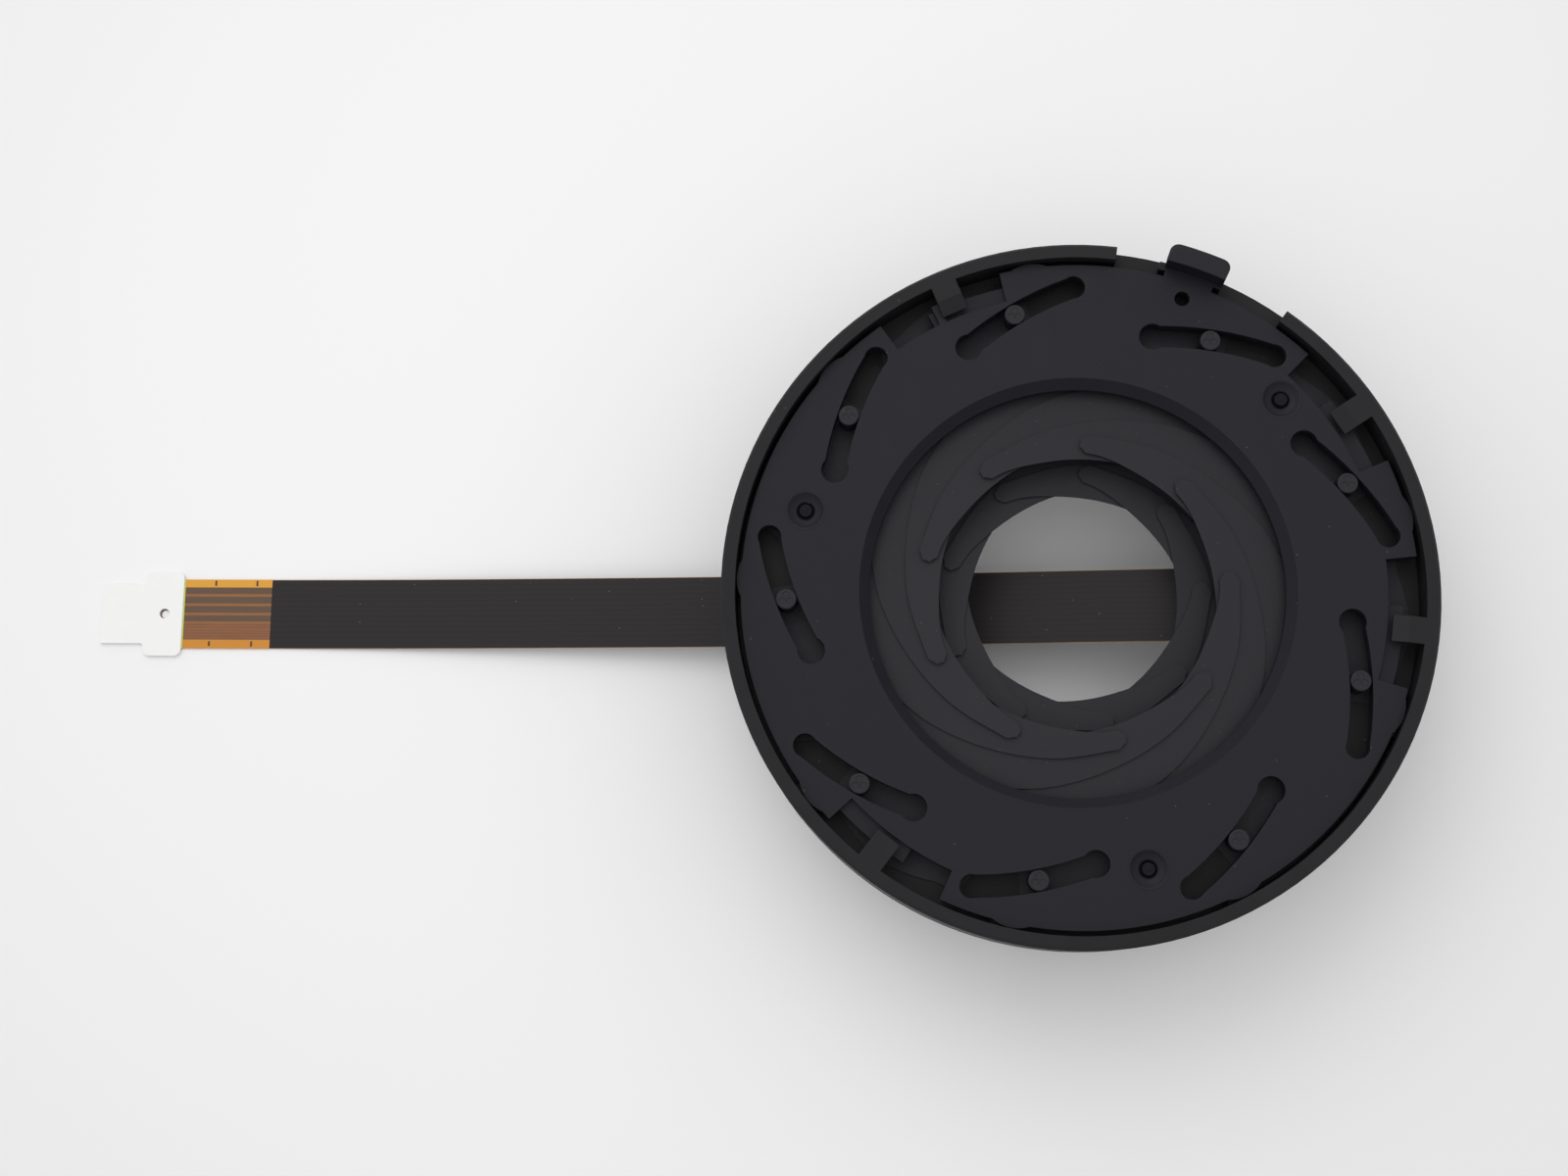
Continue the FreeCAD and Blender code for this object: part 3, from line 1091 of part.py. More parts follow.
def check_document():
    """Stops if any object failed or any sub-part has no valid shape."""
    for thing in document.Objects:
        if "Invalid" in thing.State or "Error" in thing.State:
            raise RuntimeError("object failed: " + thing.Name)
    for piece in pieces:
        if piece.Shape.isNull() or not piece.Shape.isValid() or not piece.Shape.Solids:
            raise RuntimeError("no valid shape: " + piece.Label)


def write_parts():
    """One STEP file for each sub-part."""
    os.makedirs("parts", exist_ok=True)
    for piece in pieces:
        piece.Shape.exportStep("parts/" + piece.Label + ".step")


make_housing()
make_cam_plate()
add_leaves("upper", "upper_leaf")
add_leaves("lower", "main_leaf")
make_drive_ring()
make_pinion()
make_cover()
make_cover_screws()
make_motor()
make_sensor()
make_fixed_flex()
make_ribbon()
make_ribbon_end()
document.recompute()
check_document()
write_parts()
for piece in pieces:
    print(piece.Label, len(piece.Shape.Solids), round(piece.Shape.Volume, 3))
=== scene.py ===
"""Looks of the lens aperture unit: finishes, finer pieces, flexible ribbon, table, light and camera.

Every object is in metres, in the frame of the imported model: the origin lies on the optical axis in
the plane of the mounting posts' feet, and +Z points to the side with the lever.
"""
import json
import math
import bpy
import bmesh
import numpy as np
from mathutils import Matrix, Vector


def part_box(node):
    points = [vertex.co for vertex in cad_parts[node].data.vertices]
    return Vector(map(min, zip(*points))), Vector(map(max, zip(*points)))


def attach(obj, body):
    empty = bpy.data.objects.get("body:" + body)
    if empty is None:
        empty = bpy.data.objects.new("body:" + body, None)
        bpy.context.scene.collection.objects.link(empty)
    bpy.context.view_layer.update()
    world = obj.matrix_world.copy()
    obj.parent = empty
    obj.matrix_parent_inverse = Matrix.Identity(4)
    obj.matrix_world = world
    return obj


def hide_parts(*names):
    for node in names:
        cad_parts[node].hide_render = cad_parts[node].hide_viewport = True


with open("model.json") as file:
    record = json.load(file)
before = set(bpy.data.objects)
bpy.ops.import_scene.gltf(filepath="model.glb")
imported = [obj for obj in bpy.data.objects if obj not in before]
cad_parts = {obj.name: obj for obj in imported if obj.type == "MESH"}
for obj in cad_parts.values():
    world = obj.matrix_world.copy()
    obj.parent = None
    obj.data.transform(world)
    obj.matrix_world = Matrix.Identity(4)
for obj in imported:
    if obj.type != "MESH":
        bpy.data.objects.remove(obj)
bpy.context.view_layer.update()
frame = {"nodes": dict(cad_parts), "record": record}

bl_info = {
    "name": "Lens aperture unit",
    "version": (1, 0, 0),
    "blender": (4, 5, 0),
    "location": "3D View > Sidebar > Aperture Unit",
    "description": "Finishes and finer pieces of a lens aperture unit with two irises",
    "category": "Object",
}

MM = 0.001

# Lengths are millimetres and angles degrees, apart from those times MM and those said to be metres.
PLATE_TOP = 17.8
PIN_FACE = 17.7
EDGE_SOFTNESS = 0.1 * MM

# Table, light and camera, in metres
TABLE_HEIGHT = -0.00002
TABLE_HALF = 2.0
BRIGHT_SIDE = (-0.33, 0.74, 0.59)
LAMP_PLACE = (-0.25, 0.55, 0.75)
LAMP_SIZE = 0.7
CAMERA_PLACE = (-0.01717, -0.03761, 0.23661)
CAMERA_RIGHT = (0.99863, 0.01174, -0.05105)
CAMERA_BACK = (0.0523, -0.16951, 0.98414)

# Ribbon's route, distance from the axis and height, as in the part's source
RIBBON_ROUTE = ((20.8, 8.925), (14.0, 8.72), (5.5, 7.75), (-5.0, 6.2), (-16.0, 4.75), (-28.0, 3.45),
                (-41.0, 2.35), (-54.0, 1.45), (-66.0, 0.72), (-76.0, 0.26), (-85.0, 0.105))
RIBBON_SIDE = 0.1
RIBBON_HALF = 3.75

# Films of the ribbon: name, inset of the edges, underside and top from the middle, finish, slot
RIBBON_FILMS = (("ribbon_coverlay", 0.06, -0.03, 0.075, "coverlay_film", "coverlay_film"),
                ("ribbon_base", 0.0, -0.045, -0.015, "base_film", "amber_film"),
                ("ribbon_back", 0.06, -0.075, -0.035, "coverlay_film", "coverlay_film"))
FILM_CUT = 0.012

# Copper in the bare window, as distances in from its upper edge; a tick's first number is its place along it
WIDE_TRACES = ((0.92, 1.55), (1.88, 2.58), (2.9, 3.6), (3.92, 4.55))
NARROW_TRACES = (4.92, 5.22, 5.55, 5.85, 6.15, 6.42)
NARROW_HALF = 0.09
TICKS = ((3.45, 0.12, 0.7), (7.95, 0.12, 0.72), (3.0, 6.72, 7.25), (7.6, 6.72, 7.3))
TICK_HALF = 0.1
TRACE_SUNK = 0.01

# Ribbon's white tip
STIFFENER_SLANT = 0.03 * MM
STIFFENER_EARS = 4.7 * MM
STIFFENER_TIP_HALF = 3.25 * MM
TAIL_HALF = 3.2 * MM
TIP_HOLE_BACK = 2.0 * MM
TIP_HOLE = 0.53 * MM
# The film's hole is smaller and shifted, so a dark crescent of film shows in the stiffener's hole: painted
# shade.
FILM_HOLE = 0.44 * MM
PAINTED_SHADE_SHIFT = (0.07 * MM, -0.06 * MM)

# Places of repeated pieces
LEAF_COUNT = 9
PIN_CIRCLE = 28.6
FIRST_PIN = 22.0
DIMPLE_CIRCLE = 27.9
FIRST_DIMPLE = 43.5
PADDLE_ENDS = (64.45, 74.62)
PADDLE_INNER = 33.97
PADDLE_OUTER = 35.95
PADDLE_FOOT = 17.93
PADDLE_TOP = 20.32
COVER_SCREW_CIRCLE = 32.2
FIRST_COVER_SCREW = 5.0
COVER_SCREW_FACE = 9.0
MOTOR_CIRCLE = 29.0
MOTOR_ANGLE = -60.0
FLANGE_SCREW_OFFSET = 6.5
FLANGE_SCREW_FACE = 8.5
SENSOR_ANGLE = 59.0

# Profiles turned about an axis, rows of radius and height
PIN_CAP_EDGE = ((0.9, 0.05), (0.955, 0.035), (0.985, 0.0), (0.985, -0.06), (0.0, -0.06))
BOWL_REACH = (0.6, 1.8)
BOWL_RIM = ((1.85, 0.012), (2.05, 0.006), (2.07, -0.5), (0.0, -0.5))
GATE_STUB = ((0.0, -0.1), (0.14, -0.1), (0.24, -0.165), (0.46, -0.17), (0.56, -0.14), (0.64, -0.2),
             (0.66, -0.49), (0.0, -0.49))

# Screws: radius and height of the head, radius of the shank, pitch of the thread
COVER_HEAD = (1.25 * MM, 0.6 * MM)
FLANGE_HEAD = (1.15 * MM, 0.5 * MM)
SHANK_RADIUS = 0.6 * MM
PITCH = 0.4 * MM

# Colours that several finishes share
DUST = (0.3, 0.29, 0.27)
FILM_DUST = (0.35, 0.33, 0.3)


# Sizes and colours that a user may change

class ApertureShapes(bpy.types.PropertyGroup):
    """Sizes of the finer pieces."""
    pin_mark_depth: bpy.props.FloatProperty(
        name="Pin mark depth", description="Depth of the three-lobed mark on a cam pin's end",
        default=0.2 * MM, unit="LENGTH", precision=5)
    dimple_depth: bpy.props.FloatProperty(
        name="Gate dimple depth", description="Depth of the round bowls in the cam plate",
        default=0.5 * MM, unit="LENGTH", precision=5)
    screw_recess: bpy.props.FloatProperty(
        name="Screw recess depth", description="Depth of the cross in a screw's head",
        default=0.35 * MM, unit="LENGTH", precision=5)
    solder_height: bpy.props.FloatProperty(
        name="Solder height", description="Height of a solder joint on the fixed circuit",
        default=0.3 * MM, unit="LENGTH", precision=5)
    trace_height: bpy.props.FloatProperty(
        name="Trace height", description="Height of the traces under the amber film",
        default=0.02 * MM, unit="LENGTH", precision=5)


class ApertureFinishes(bpy.types.PropertyGroup):
    """Colours of the finishes."""
    plastic: bpy.props.FloatVectorProperty(
        name="Moulded plastic", description="Colour of the housing, cover and ring",
        default=(0.0092, 0.0088, 0.0105), subtype="COLOR", min=0.0, max=1.0)
    plate: bpy.props.FloatVectorProperty(
        name="Cam plate", description="Colour of the cam plate, a little bluish",
        default=(0.0066, 0.0064, 0.0108), subtype="COLOR", min=0.0, max=1.0)
    leaf: bpy.props.FloatVectorProperty(
        name="Leaf coating", description="Colour of the leaves' dull coating",
        default=(0.0088, 0.0086, 0.0132), subtype="COLOR", min=0.0, max=1.0)
    coverlay: bpy.props.FloatVectorProperty(
        name="Coverlay", description="Colour of the ribbon's dark film",
        default=(0.0125, 0.0095, 0.0115), subtype="COLOR", min=0.0, max=1.0)
    amber: bpy.props.FloatVectorProperty(
        name="Amber film", description="Colour of the bare film at the ribbon's end",
        default=(0.68, 0.33, 0.035), subtype="COLOR", min=0.0, max=1.0)
    stiffener: bpy.props.FloatVectorProperty(
        name="Stiffener", description="Colour of the ribbon's stiff tip",
        default=(0.86, 0.86, 0.85), subtype="COLOR", min=0.0, max=1.0)


class ApertureStage(bpy.types.PropertyGroup):
    """Table, light and camera."""
    table: bpy.props.FloatVectorProperty(
        name="Table", description="Colour of the table",
        default=(0.9, 0.893, 0.9), subtype="COLOR", min=0.0, max=1.0)
    sky: bpy.props.FloatProperty(
        name="Sky strength", description="Even light from all sides", default=0.66, min=0.0)
    glow: bpy.props.FloatProperty(
        name="Sky glow", description="Further light from the sky's bright side", default=0.5, min=0.0)
    lamp: bpy.props.FloatProperty(
        name="Lamp power", description="Power of the large soft lamp", default=1.3, min=0.0,
        unit="POWER")
    lens: bpy.props.FloatProperty(
        name="Focal length", description="Focal length of the camera", default=51.75, unit="CAMERA")


def settings(name):
    """The property group of that name on the scene."""
    return getattr(bpy.context.scene, name)


# Surfaces

def polar(radius, degrees, height=0.0):
    """Point in metres from a radius in millimetres, an angle and a height in millimetres."""
    turn = math.radians(degrees)
    return np.array([radius * math.cos(turn), radius * math.sin(turn), height]) * MM


def grid_mesh(name, points, close_rows=False, close_columns=False):
    """Mesh of a grid of points with shape (rows, columns, 3); a closed direction meets itself again."""
    rows, columns = points.shape[:2]
    row_steps = np.arange(rows if close_rows else rows - 1)
    column_steps = np.arange(columns if close_columns else columns - 1)
    row, column = np.meshgrid(row_steps, column_steps, indexing="ij")
    next_row = (row + 1) % rows
    next_column = (column + 1) % columns
    corners = [row * columns + column, next_row * columns + column,
               next_row * columns + next_column, row * columns + next_column]
    faces = np.stack(corners, axis=-1).reshape(-1, 4)
    mesh = bpy.data.meshes.new(name)
    mesh.from_pydata(points.reshape(-1, 3).tolist(), [], faces.tolist())
    return mesh


def finished(mesh):
    """Closes seams and poles, turns every face outwards and shades the mesh smooth up to sharp edges."""
    weld = 1e-7
    work = bmesh.new()
    work.from_mesh(mesh)
    bmesh.ops.remove_doubles(work, verts=work.verts, dist=weld)
    bmesh.ops.dissolve_degenerate(work, edges=work.edges, dist=weld)
    bmesh.ops.recalc_face_normals(work, faces=work.faces)
    work.to_mesh(mesh)
    work.free()
    mesh.polygons.foreach_set("use_smooth", np.ones(len(mesh.polygons), dtype=bool))
    mesh.set_sharp_from_angle(angle=math.radians(38.0))
    mesh.update()
    return mesh


def vertices(mesh):
    """A mesh's vertices as an array of rows of x, y and z."""
    spots = np.empty(len(mesh.vertices) * 3)
    mesh.vertices.foreach_get("co", spots)
    return spots.reshape(-1, 3)


def joined(name, meshes):
    """One mesh from several."""
    work = bmesh.new()
    for mesh in meshes:
        work.from_mesh(mesh)
        bpy.data.meshes.remove(mesh)
    whole = bpy.data.meshes.new(name)
    work.to_mesh(whole)
    work.free()
    return finished(whole)


def piece(name, mesh, body, slot, finish=None):
    """Puts a mesh into the scene as a piece that rides on a CAD body, in its slot's finish or another."""
    thing = bpy.data.objects.new(name, mesh)
    bpy.context.scene.collection.objects.link(thing)
    thing.data.materials.append(FINISHES[finish or slot])
    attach(thing, body)
    return thing


def capped(points):
    """The same rows of points with one more at each end, drawn together in that end's middle."""
    first = np.broadcast_to(points[:1].mean(axis=1, keepdims=True), points[:1].shape)
    last = np.broadcast_to(points[-1:].mean(axis=1, keepdims=True), points[-1:].shape)
    return np.concatenate([first, points, last])


def lathe(profile, columns, relief=None):
    """Points of a profile of (radius, height) rows turned about Z, with relief(x, y) added to Z."""
    profile = np.asarray(profile, float)
    angle = np.linspace(0.0, 2.0 * math.pi, columns, endpoint=False)
    radius = profile[:, 0][:, None]
    x = radius * np.cos(angle)
    y = radius * np.sin(angle)
    z = np.repeat(profile[:, 1][:, None], columns, axis=1)
    if relief is not None:
        z = z + relief(x, y)
    return np.stack([x, y, z], axis=-1)


def smooth_step(low, high, value):
    """Rises from 0 at low to 1 at high along 3t squared less 2t cubed."""
    t = np.clip((value - low) / (high - low), 0.0, 1.0)
    return t * t * (3.0 - 2.0 * t)


def block(low, high, edge):
    """Box with bevelled upper and lower edges, as a grid of five rectangles from bottom to top."""
    low = np.asarray(low, float)
    high = np.asarray(high, float)
    rows = []
    for height, inset in ((low[2], edge), (low[2] + edge, 0.0), (high[2] - edge, 0.0), (high[2], edge)):
        x0, y0 = low[:2] + inset
        x1, y1 = high[:2] - inset
        rows.append([(x0, y0, height), (x1, y0, height), (x1, y1, height), (x0, y1, height)])
    middle = (low + high) / 2.0
    rows.insert(0, [(middle[0], middle[1], low[2])] * 4)
    rows.append([(middle[0], middle[1], high[2])] * 4)
    return grid_mesh("block", np.array(rows), close_columns=True)


# Shader expressions

class Value:
    """A number in a shader; Python arithmetic on it adds Math nodes."""

    def __init__(self, finish, socket):
        self.finish = finish
        self.socket = socket

    def math(self, operation, *others):
        return self.finish.node("ShaderNodeMath", {"operation": operation}, (self,) + others)[0]

    def under(self, operation, other):
        return self.finish.node("ShaderNodeMath", {"operation": operation}, (other, self))[0]

    def __add__(self, other):
        return self.math("ADD", other)

    def __mul__(self, other):
        return self.math("MULTIPLY", other)

    def __sub__(self, other):
        return self.math("SUBTRACT", other)

    def __rsub__(self, other):
        return self.under("SUBTRACT", other)

    def __truediv__(self, other):
        return self.math("DIVIDE", other)

    def __pow__(self, other):
        return self.math("POWER", other)

    __radd__ = __add__
    __rmul__ = __mul__

    def below(self, edge):
        return self.math("LESS_THAN", edge)

    def rise(self, low, high):
        """Smooth step from 0 at low to 1 at high."""
        values = {"Value": self, "From Min": low, "From Max": high}
        return self.finish.node("ShaderNodeMapRange", {"interpolation_type": "SMOOTHSTEP"}, values)[0]


class Finish:
    """A node material under construction: one surface shader and whatever feeds it."""

    def __init__(self, name):
        self.material = bpy.data.materials.new(name)
        self.material.use_nodes = True
        self.tree = self.material.node_tree
        self.tree.nodes.clear()
        self.output = self.tree.nodes.new("ShaderNodeOutputMaterial")
        self.surface = self.tree.nodes.new("ShaderNodeBsdfPrincipled")
        self.tree.links.new(self.surface.outputs[0], self.output.inputs["Surface"])

    def feed(self, socket, value):
        """Links a Value to a socket, or sets the socket to a number, colour or vector."""
        if isinstance(value, Value):
            self.tree.links.new(value.socket, socket)
        elif socket.type == "RGBA" and len(value) == 3:
            socket.default_value = tuple(value) + (1.0,)
        else:
            socket.default_value = value

    def node(self, kind, options, values):
        """Adds any node: its options first, then its sockets by name or order; gives its outputs."""
        made = self.tree.nodes.new(kind)
        for key, option in options.items():
            setattr(made, key, option)
        pairs = values.items() if isinstance(values, dict) else enumerate(values)
        for key, value in pairs:
            self.feed(made.inputs[key], value)
        return [Value(self, socket) for socket in made.outputs]

    def place(self):
        """Object coordinates in millimetres: the vector, and its three numbers."""
        coordinates = self.node("ShaderNodeTexCoord", {}, {})
        scaled = self.node("ShaderNodeVectorMath", {"operation": "SCALE"},
                           {0: coordinates[3], "Scale": 1.0 / MM})[0]
        return scaled, self.node("ShaderNodeSeparateXYZ", {}, (scaled,))

    def vector(self, x, y, z):
        """Vector from three numbers."""
        return self.node("ShaderNodeCombineXYZ", {}, (x, y, z))[0]

    def noise(self, vector, scale, detail=2.0, rough=0.5):
        """Noise of 0 to 1 at a scale per millimetre."""
        values = {"Vector": vector, "Scale": scale, "Detail": detail, "Roughness": rough}
        return self.node("ShaderNodeTexNoise", {}, values)[0]

    def specks(self, vector, scale, share, radius):
        """Small round dots, 1 inside and 0 outside, in a share of the cells."""
        cells = self.node("ShaderNodeTexVoronoi", {}, {"Vector": vector, "Scale": scale})
        tint = self.node("ShaderNodeSeparateColor", {}, (cells[1],))
        return cells[0].below(radius * scale) * tint[0].below(share)

    def mix(self, share, first, second):
        """Colour between two colours."""
        values = {0: share, 6: first, 7: second}
        return self.node("ShaderNodeMix", {"data_type": "RGBA"}, values)[2]

    def bump(self, height, distance, strength=1.0, under=None):
        """Normal from a height of 0 to 1 that stands for a distance in millimetres."""
        values = {"Height": height, "Distance": distance * MM, "Strength": strength}
        if under is not None:
            values["Normal"] = under
        return self.node("ShaderNodeBump", {}, values)[0]

    def set(self, **values):
        """Feeds the surface shader's sockets; underscores stand for spaces."""
        for name, value in values.items():
            self.feed(self.surface.inputs[name.replace("_", " ")], value)
        return self.material


# Finishes

def scaled(colour, factor):
    """A colour made lighter or darker."""
    return tuple(min(channel * factor, 1.0) for channel in colour)


def moulded_plastic(name, colour, rough=0.52, turned=False, shine=0.225):
    """Matte moulded plastic: fine grain, faint clouds and specks of dust; turned adds circular streaks."""
    finish = Finish(name)
    spot, (x, y, z) = finish.place()
    clouds = finish.noise(spot, scale=0.35, detail=3.0)
    grain = finish.noise(spot, scale=14.0, detail=3.0, rough=0.6)
    dust = finish.specks(spot, scale=0.9, share=0.3, radius=0.05)
    soft = finish.node("ShaderNodeBevel", {"samples": 4}, {"Radius": EDGE_SOFTNESS})[0]
    shade = clouds.rise(0.3, 0.7) * 0.5 + grain * 0.5
    if turned:
        radius = (x * x + y * y) ** 0.5
        streaks = finish.noise(finish.vector(radius * 6.0, z, y * 0.12), 1.0, 2.0)
        shade = shade * 0.6 + streaks * 0.4
    colour_now = finish.mix(shade, scaled(colour, 0.72), scaled(colour, 1.32))
    colour_now = finish.mix(dust * 0.35, colour_now, DUST)
    height = grain * 0.7 + clouds * 0.3
    return finish.set(Base_Color=colour_now, Roughness=(grain + clouds - 1.0) * 0.2 + rough,
                      Normal=finish.bump(height, distance=0.02, strength=0.5, under=soft),
                      Specular_IOR_Level=shine)


def leaf_coating(name, colour):
    """Dull dry-film coating of a thin leaf: very fine grain and light wiping streaks."""
    finish = Finish(name)
    spot, (x, y, z) = finish.place()
    grain = finish.noise(spot, scale=22.0, detail=2.0, rough=0.6)
    wiped = finish.noise(finish.vector(x * 0.5 + y * 0.3, y * 2.2 - x * 1.1, z), 1.0, 3.0)
    dust = finish.specks(spot, scale=1.3, share=0.3, radius=0.04)
    shade = grain * 0.5 + wiped.rise(0.35, 0.75) * 0.5
    colour_now = finish.mix(shade, scaled(colour, 0.85), scaled(colour, 1.18))
    colour_now = finish.mix(dust * 0.3, colour_now, DUST)
    return finish.set(Base_Color=colour_now, Roughness=wiped * 0.14 + 0.5,
                      Normal=finish.bump(grain, distance=0.01, strength=0.4), Specular_IOR_Level=0.36)


def worn_metal(name, colour, rough, fine=18.0, lines=(1.0, 1.0, 1.0)):
    """Plated or ground metal: fine streaks along one direction and a few dull patches."""
    finish = Finish(name)
    spot, (x, y, z) = finish.place()
    streaks = finish.noise(finish.vector(x * lines[0], y * lines[1], z * lines[2]), fine, 3.0)
    patches = finish.noise(spot, scale=0.8, detail=4.0).rise(0.45, 0.7)
    colour_now = finish.mix(streaks * 0.6 + patches * 0.4, scaled(colour, 0.8), scaled(colour, 1.12))
    return finish.set(Base_Color=colour_now, Metallic=1.0,
                      Roughness=streaks * 0.15 + patches * 0.12 + rough,
                      Normal=finish.bump(streaks, distance=0.004, strength=0.5))


def wound_copper(name):
    """Layers of enamelled copper wire wound round the coil: a painted highlight on each turn's crown and
    painted shade between the turns, once a turn along Z.
    """
    wire = 0.12
    finish = Finish(name)
    spot, (x, y, z) = finish.place()
    turns_and_painted_highlight = finish.node("ShaderNodeMath", {"operation": "PINGPONG"}, (z, wire / 2.0))[0] / (wire / 2.0)
    tint = finish.noise(spot, scale=3.0, detail=2.0)
    # Colour runs from painted shade between the turns to a painted highlight on each crown; the same wave
    # also bumps the surface.
    colour_now = finish.mix(turns_and_painted_highlight * 0.6 + tint * 0.4, (0.16, 0.05, 0.02), (0.62, 0.24, 0.1))
    return finish.set(Base_Color=colour_now, Metallic=0.9, Roughness=tint * 0.15 + 0.28,
                      Normal=finish.bump(turns_and_painted_highlight, distance=0.03, strength=0.8), Coat_Weight=0.4)


def coverlay_film(name, colour, round_the_axis):
    """Dark satin film over copper: long faint ridges where the traces run underneath."""
    pitch = 0.56
    finish = Finish(name)
    spot, (x, y, z) = finish.place()
    across = y
    along = x
    if round_the_axis:
        across = (x * x + y * y) ** 0.5
        along = z
    wave = finish.node("ShaderNodeMath", {"operation": "PINGPONG"}, (across + 40.0, pitch / 2.0))[0]
    traces = wave / (pitch / 2.0)
    ridge = traces.rise(0.35, 0.65)
    grain = finish.noise(finish.vector(along * 0.25, across, z), 9.0, 3.0)
    dust = finish.specks(spot, scale=0.7, share=0.5, radius=0.06)
    colour_now = finish.mix(ridge * 0.35 + grain * 0.65, scaled(colour, 0.85), scaled(colour, 1.2))
    colour_now = finish.mix(dust * 0.3, colour_now, FILM_DUST)
    return finish.set(Base_Color=colour_now, Roughness=grain * 0.12 + 0.42,
                      Normal=finish.bump(ridge * 0.7 + grain * 0.3, distance=0.012, strength=0.35),
                      Specular_IOR_Level=0.27)


def amber_film(name, colour):
    """Bare film over the base: clear amber edges, brownish between them, where copper lies below."""
    finish = Finish(name)
    spot, (x, y, z) = finish.place()
    down = RIBBON_SIDE + RIBBON_HALF - y
    inner = down.rise(0.8, 0.88) * (1.0 - down.rise(6.52, 6.6))
    tone = finish.noise(finish.vector(x * 0.4, y * 2.0, z), 1.2, 3.0)
    edge = finish.mix(down.rise(2.0, 5.0), colour, (0.58, 0.235, 0.028))
    between = finish.mix(tone, (0.3, 0.125, 0.04), (0.23, 0.1, 0.04))
    colour_now = finish.mix(inner, edge, between)
    return finish.set(Base_Color=colour_now, Roughness=tone * 0.1 + 0.28, Coat_Weight=0.1,
                      Normal=finish.bump(tone, distance=0.006, strength=0.4), Specular_IOR_Level=0.25)


def trace_film(name, light, dark):
    """Copper trace seen through the film: greyish brown with fine lengthwise streaks."""
    finish = Finish(name)
    spot, (x, y, z) = finish.place()
    streaks = finish.noise(finish.vector(x * 0.3, y * 6.0, z), 1.5, 3.0)
    return finish.set(Base_Color=finish.mix(streaks, dark, light), Roughness=streaks * 0.1 + 0.3,
                      Normal=finish.bump(streaks, distance=0.004, strength=0.3), Coat_Weight=0.1,
                      Specular_IOR_Level=0.25)


def white_sheet(name, colour):
    """White polyester stiffener: faint mottling and fine grain."""
    finish = Finish(name)
    spot, axes = finish.place()
    mottle = finish.noise(spot, scale=1.3, detail=3.0)
    grain = finish.noise(spot, scale=20.0, detail=2.0)
    colour_now = finish.mix(mottle * 0.6 + grain * 0.4, scaled(colour, 0.95), scaled(colour, 1.02))
    return finish.set(Base_Color=colour_now, Roughness=grain * 0.12 + 0.42,
                      Normal=finish.bump(grain, distance=0.006, strength=0.4))


def solder_finish(name):
    """Frosted solder: grey, lighter and darker at random in a fine frost."""
    finish = Finish(name)
    spot, axes = finish.place()
    frost = finish.noise(spot, scale=10.0, detail=4.0)
    return finish.set(Base_Color=finish.mix(frost, (0.45, 0.45, 0.46), (0.72, 0.72, 0.72)),
                      Metallic=1.0, Roughness=frost * 0.25 + 0.22,
                      Normal=finish.bump(frost, distance=0.01, strength=0.4))


def table_finish(name, colour):
    """Pale table with a very faint unevenness, and painted light falloff: greyer away from a painted pool of
    light beside the ribbon.
    """
    painted_light_centre = (-35.0, 25.0)
    finish = Finish(name)
    spot, (x, y, z) = finish.place()
    cloud = finish.noise(spot, scale=0.004, detail=2.0)
    painted_falloff_reach = ((x - painted_light_centre[0]) ** 2.0 + (y - painted_light_centre[1]) ** 2.0) ** 0.5
    middle = finish.mix(cloud, scaled(colour, 0.985), scaled(colour, 1.01))
    # Painted light falloff: the table colour darkens with distance from the painted pool of light.
    colour_now = finish.mix(painted_falloff_reach.rise(20.0, 230.0), middle, scaled(colour, 0.76))
    return finish.set(Base_Color=colour_now, Roughness=0.85)


FINISHES = {}


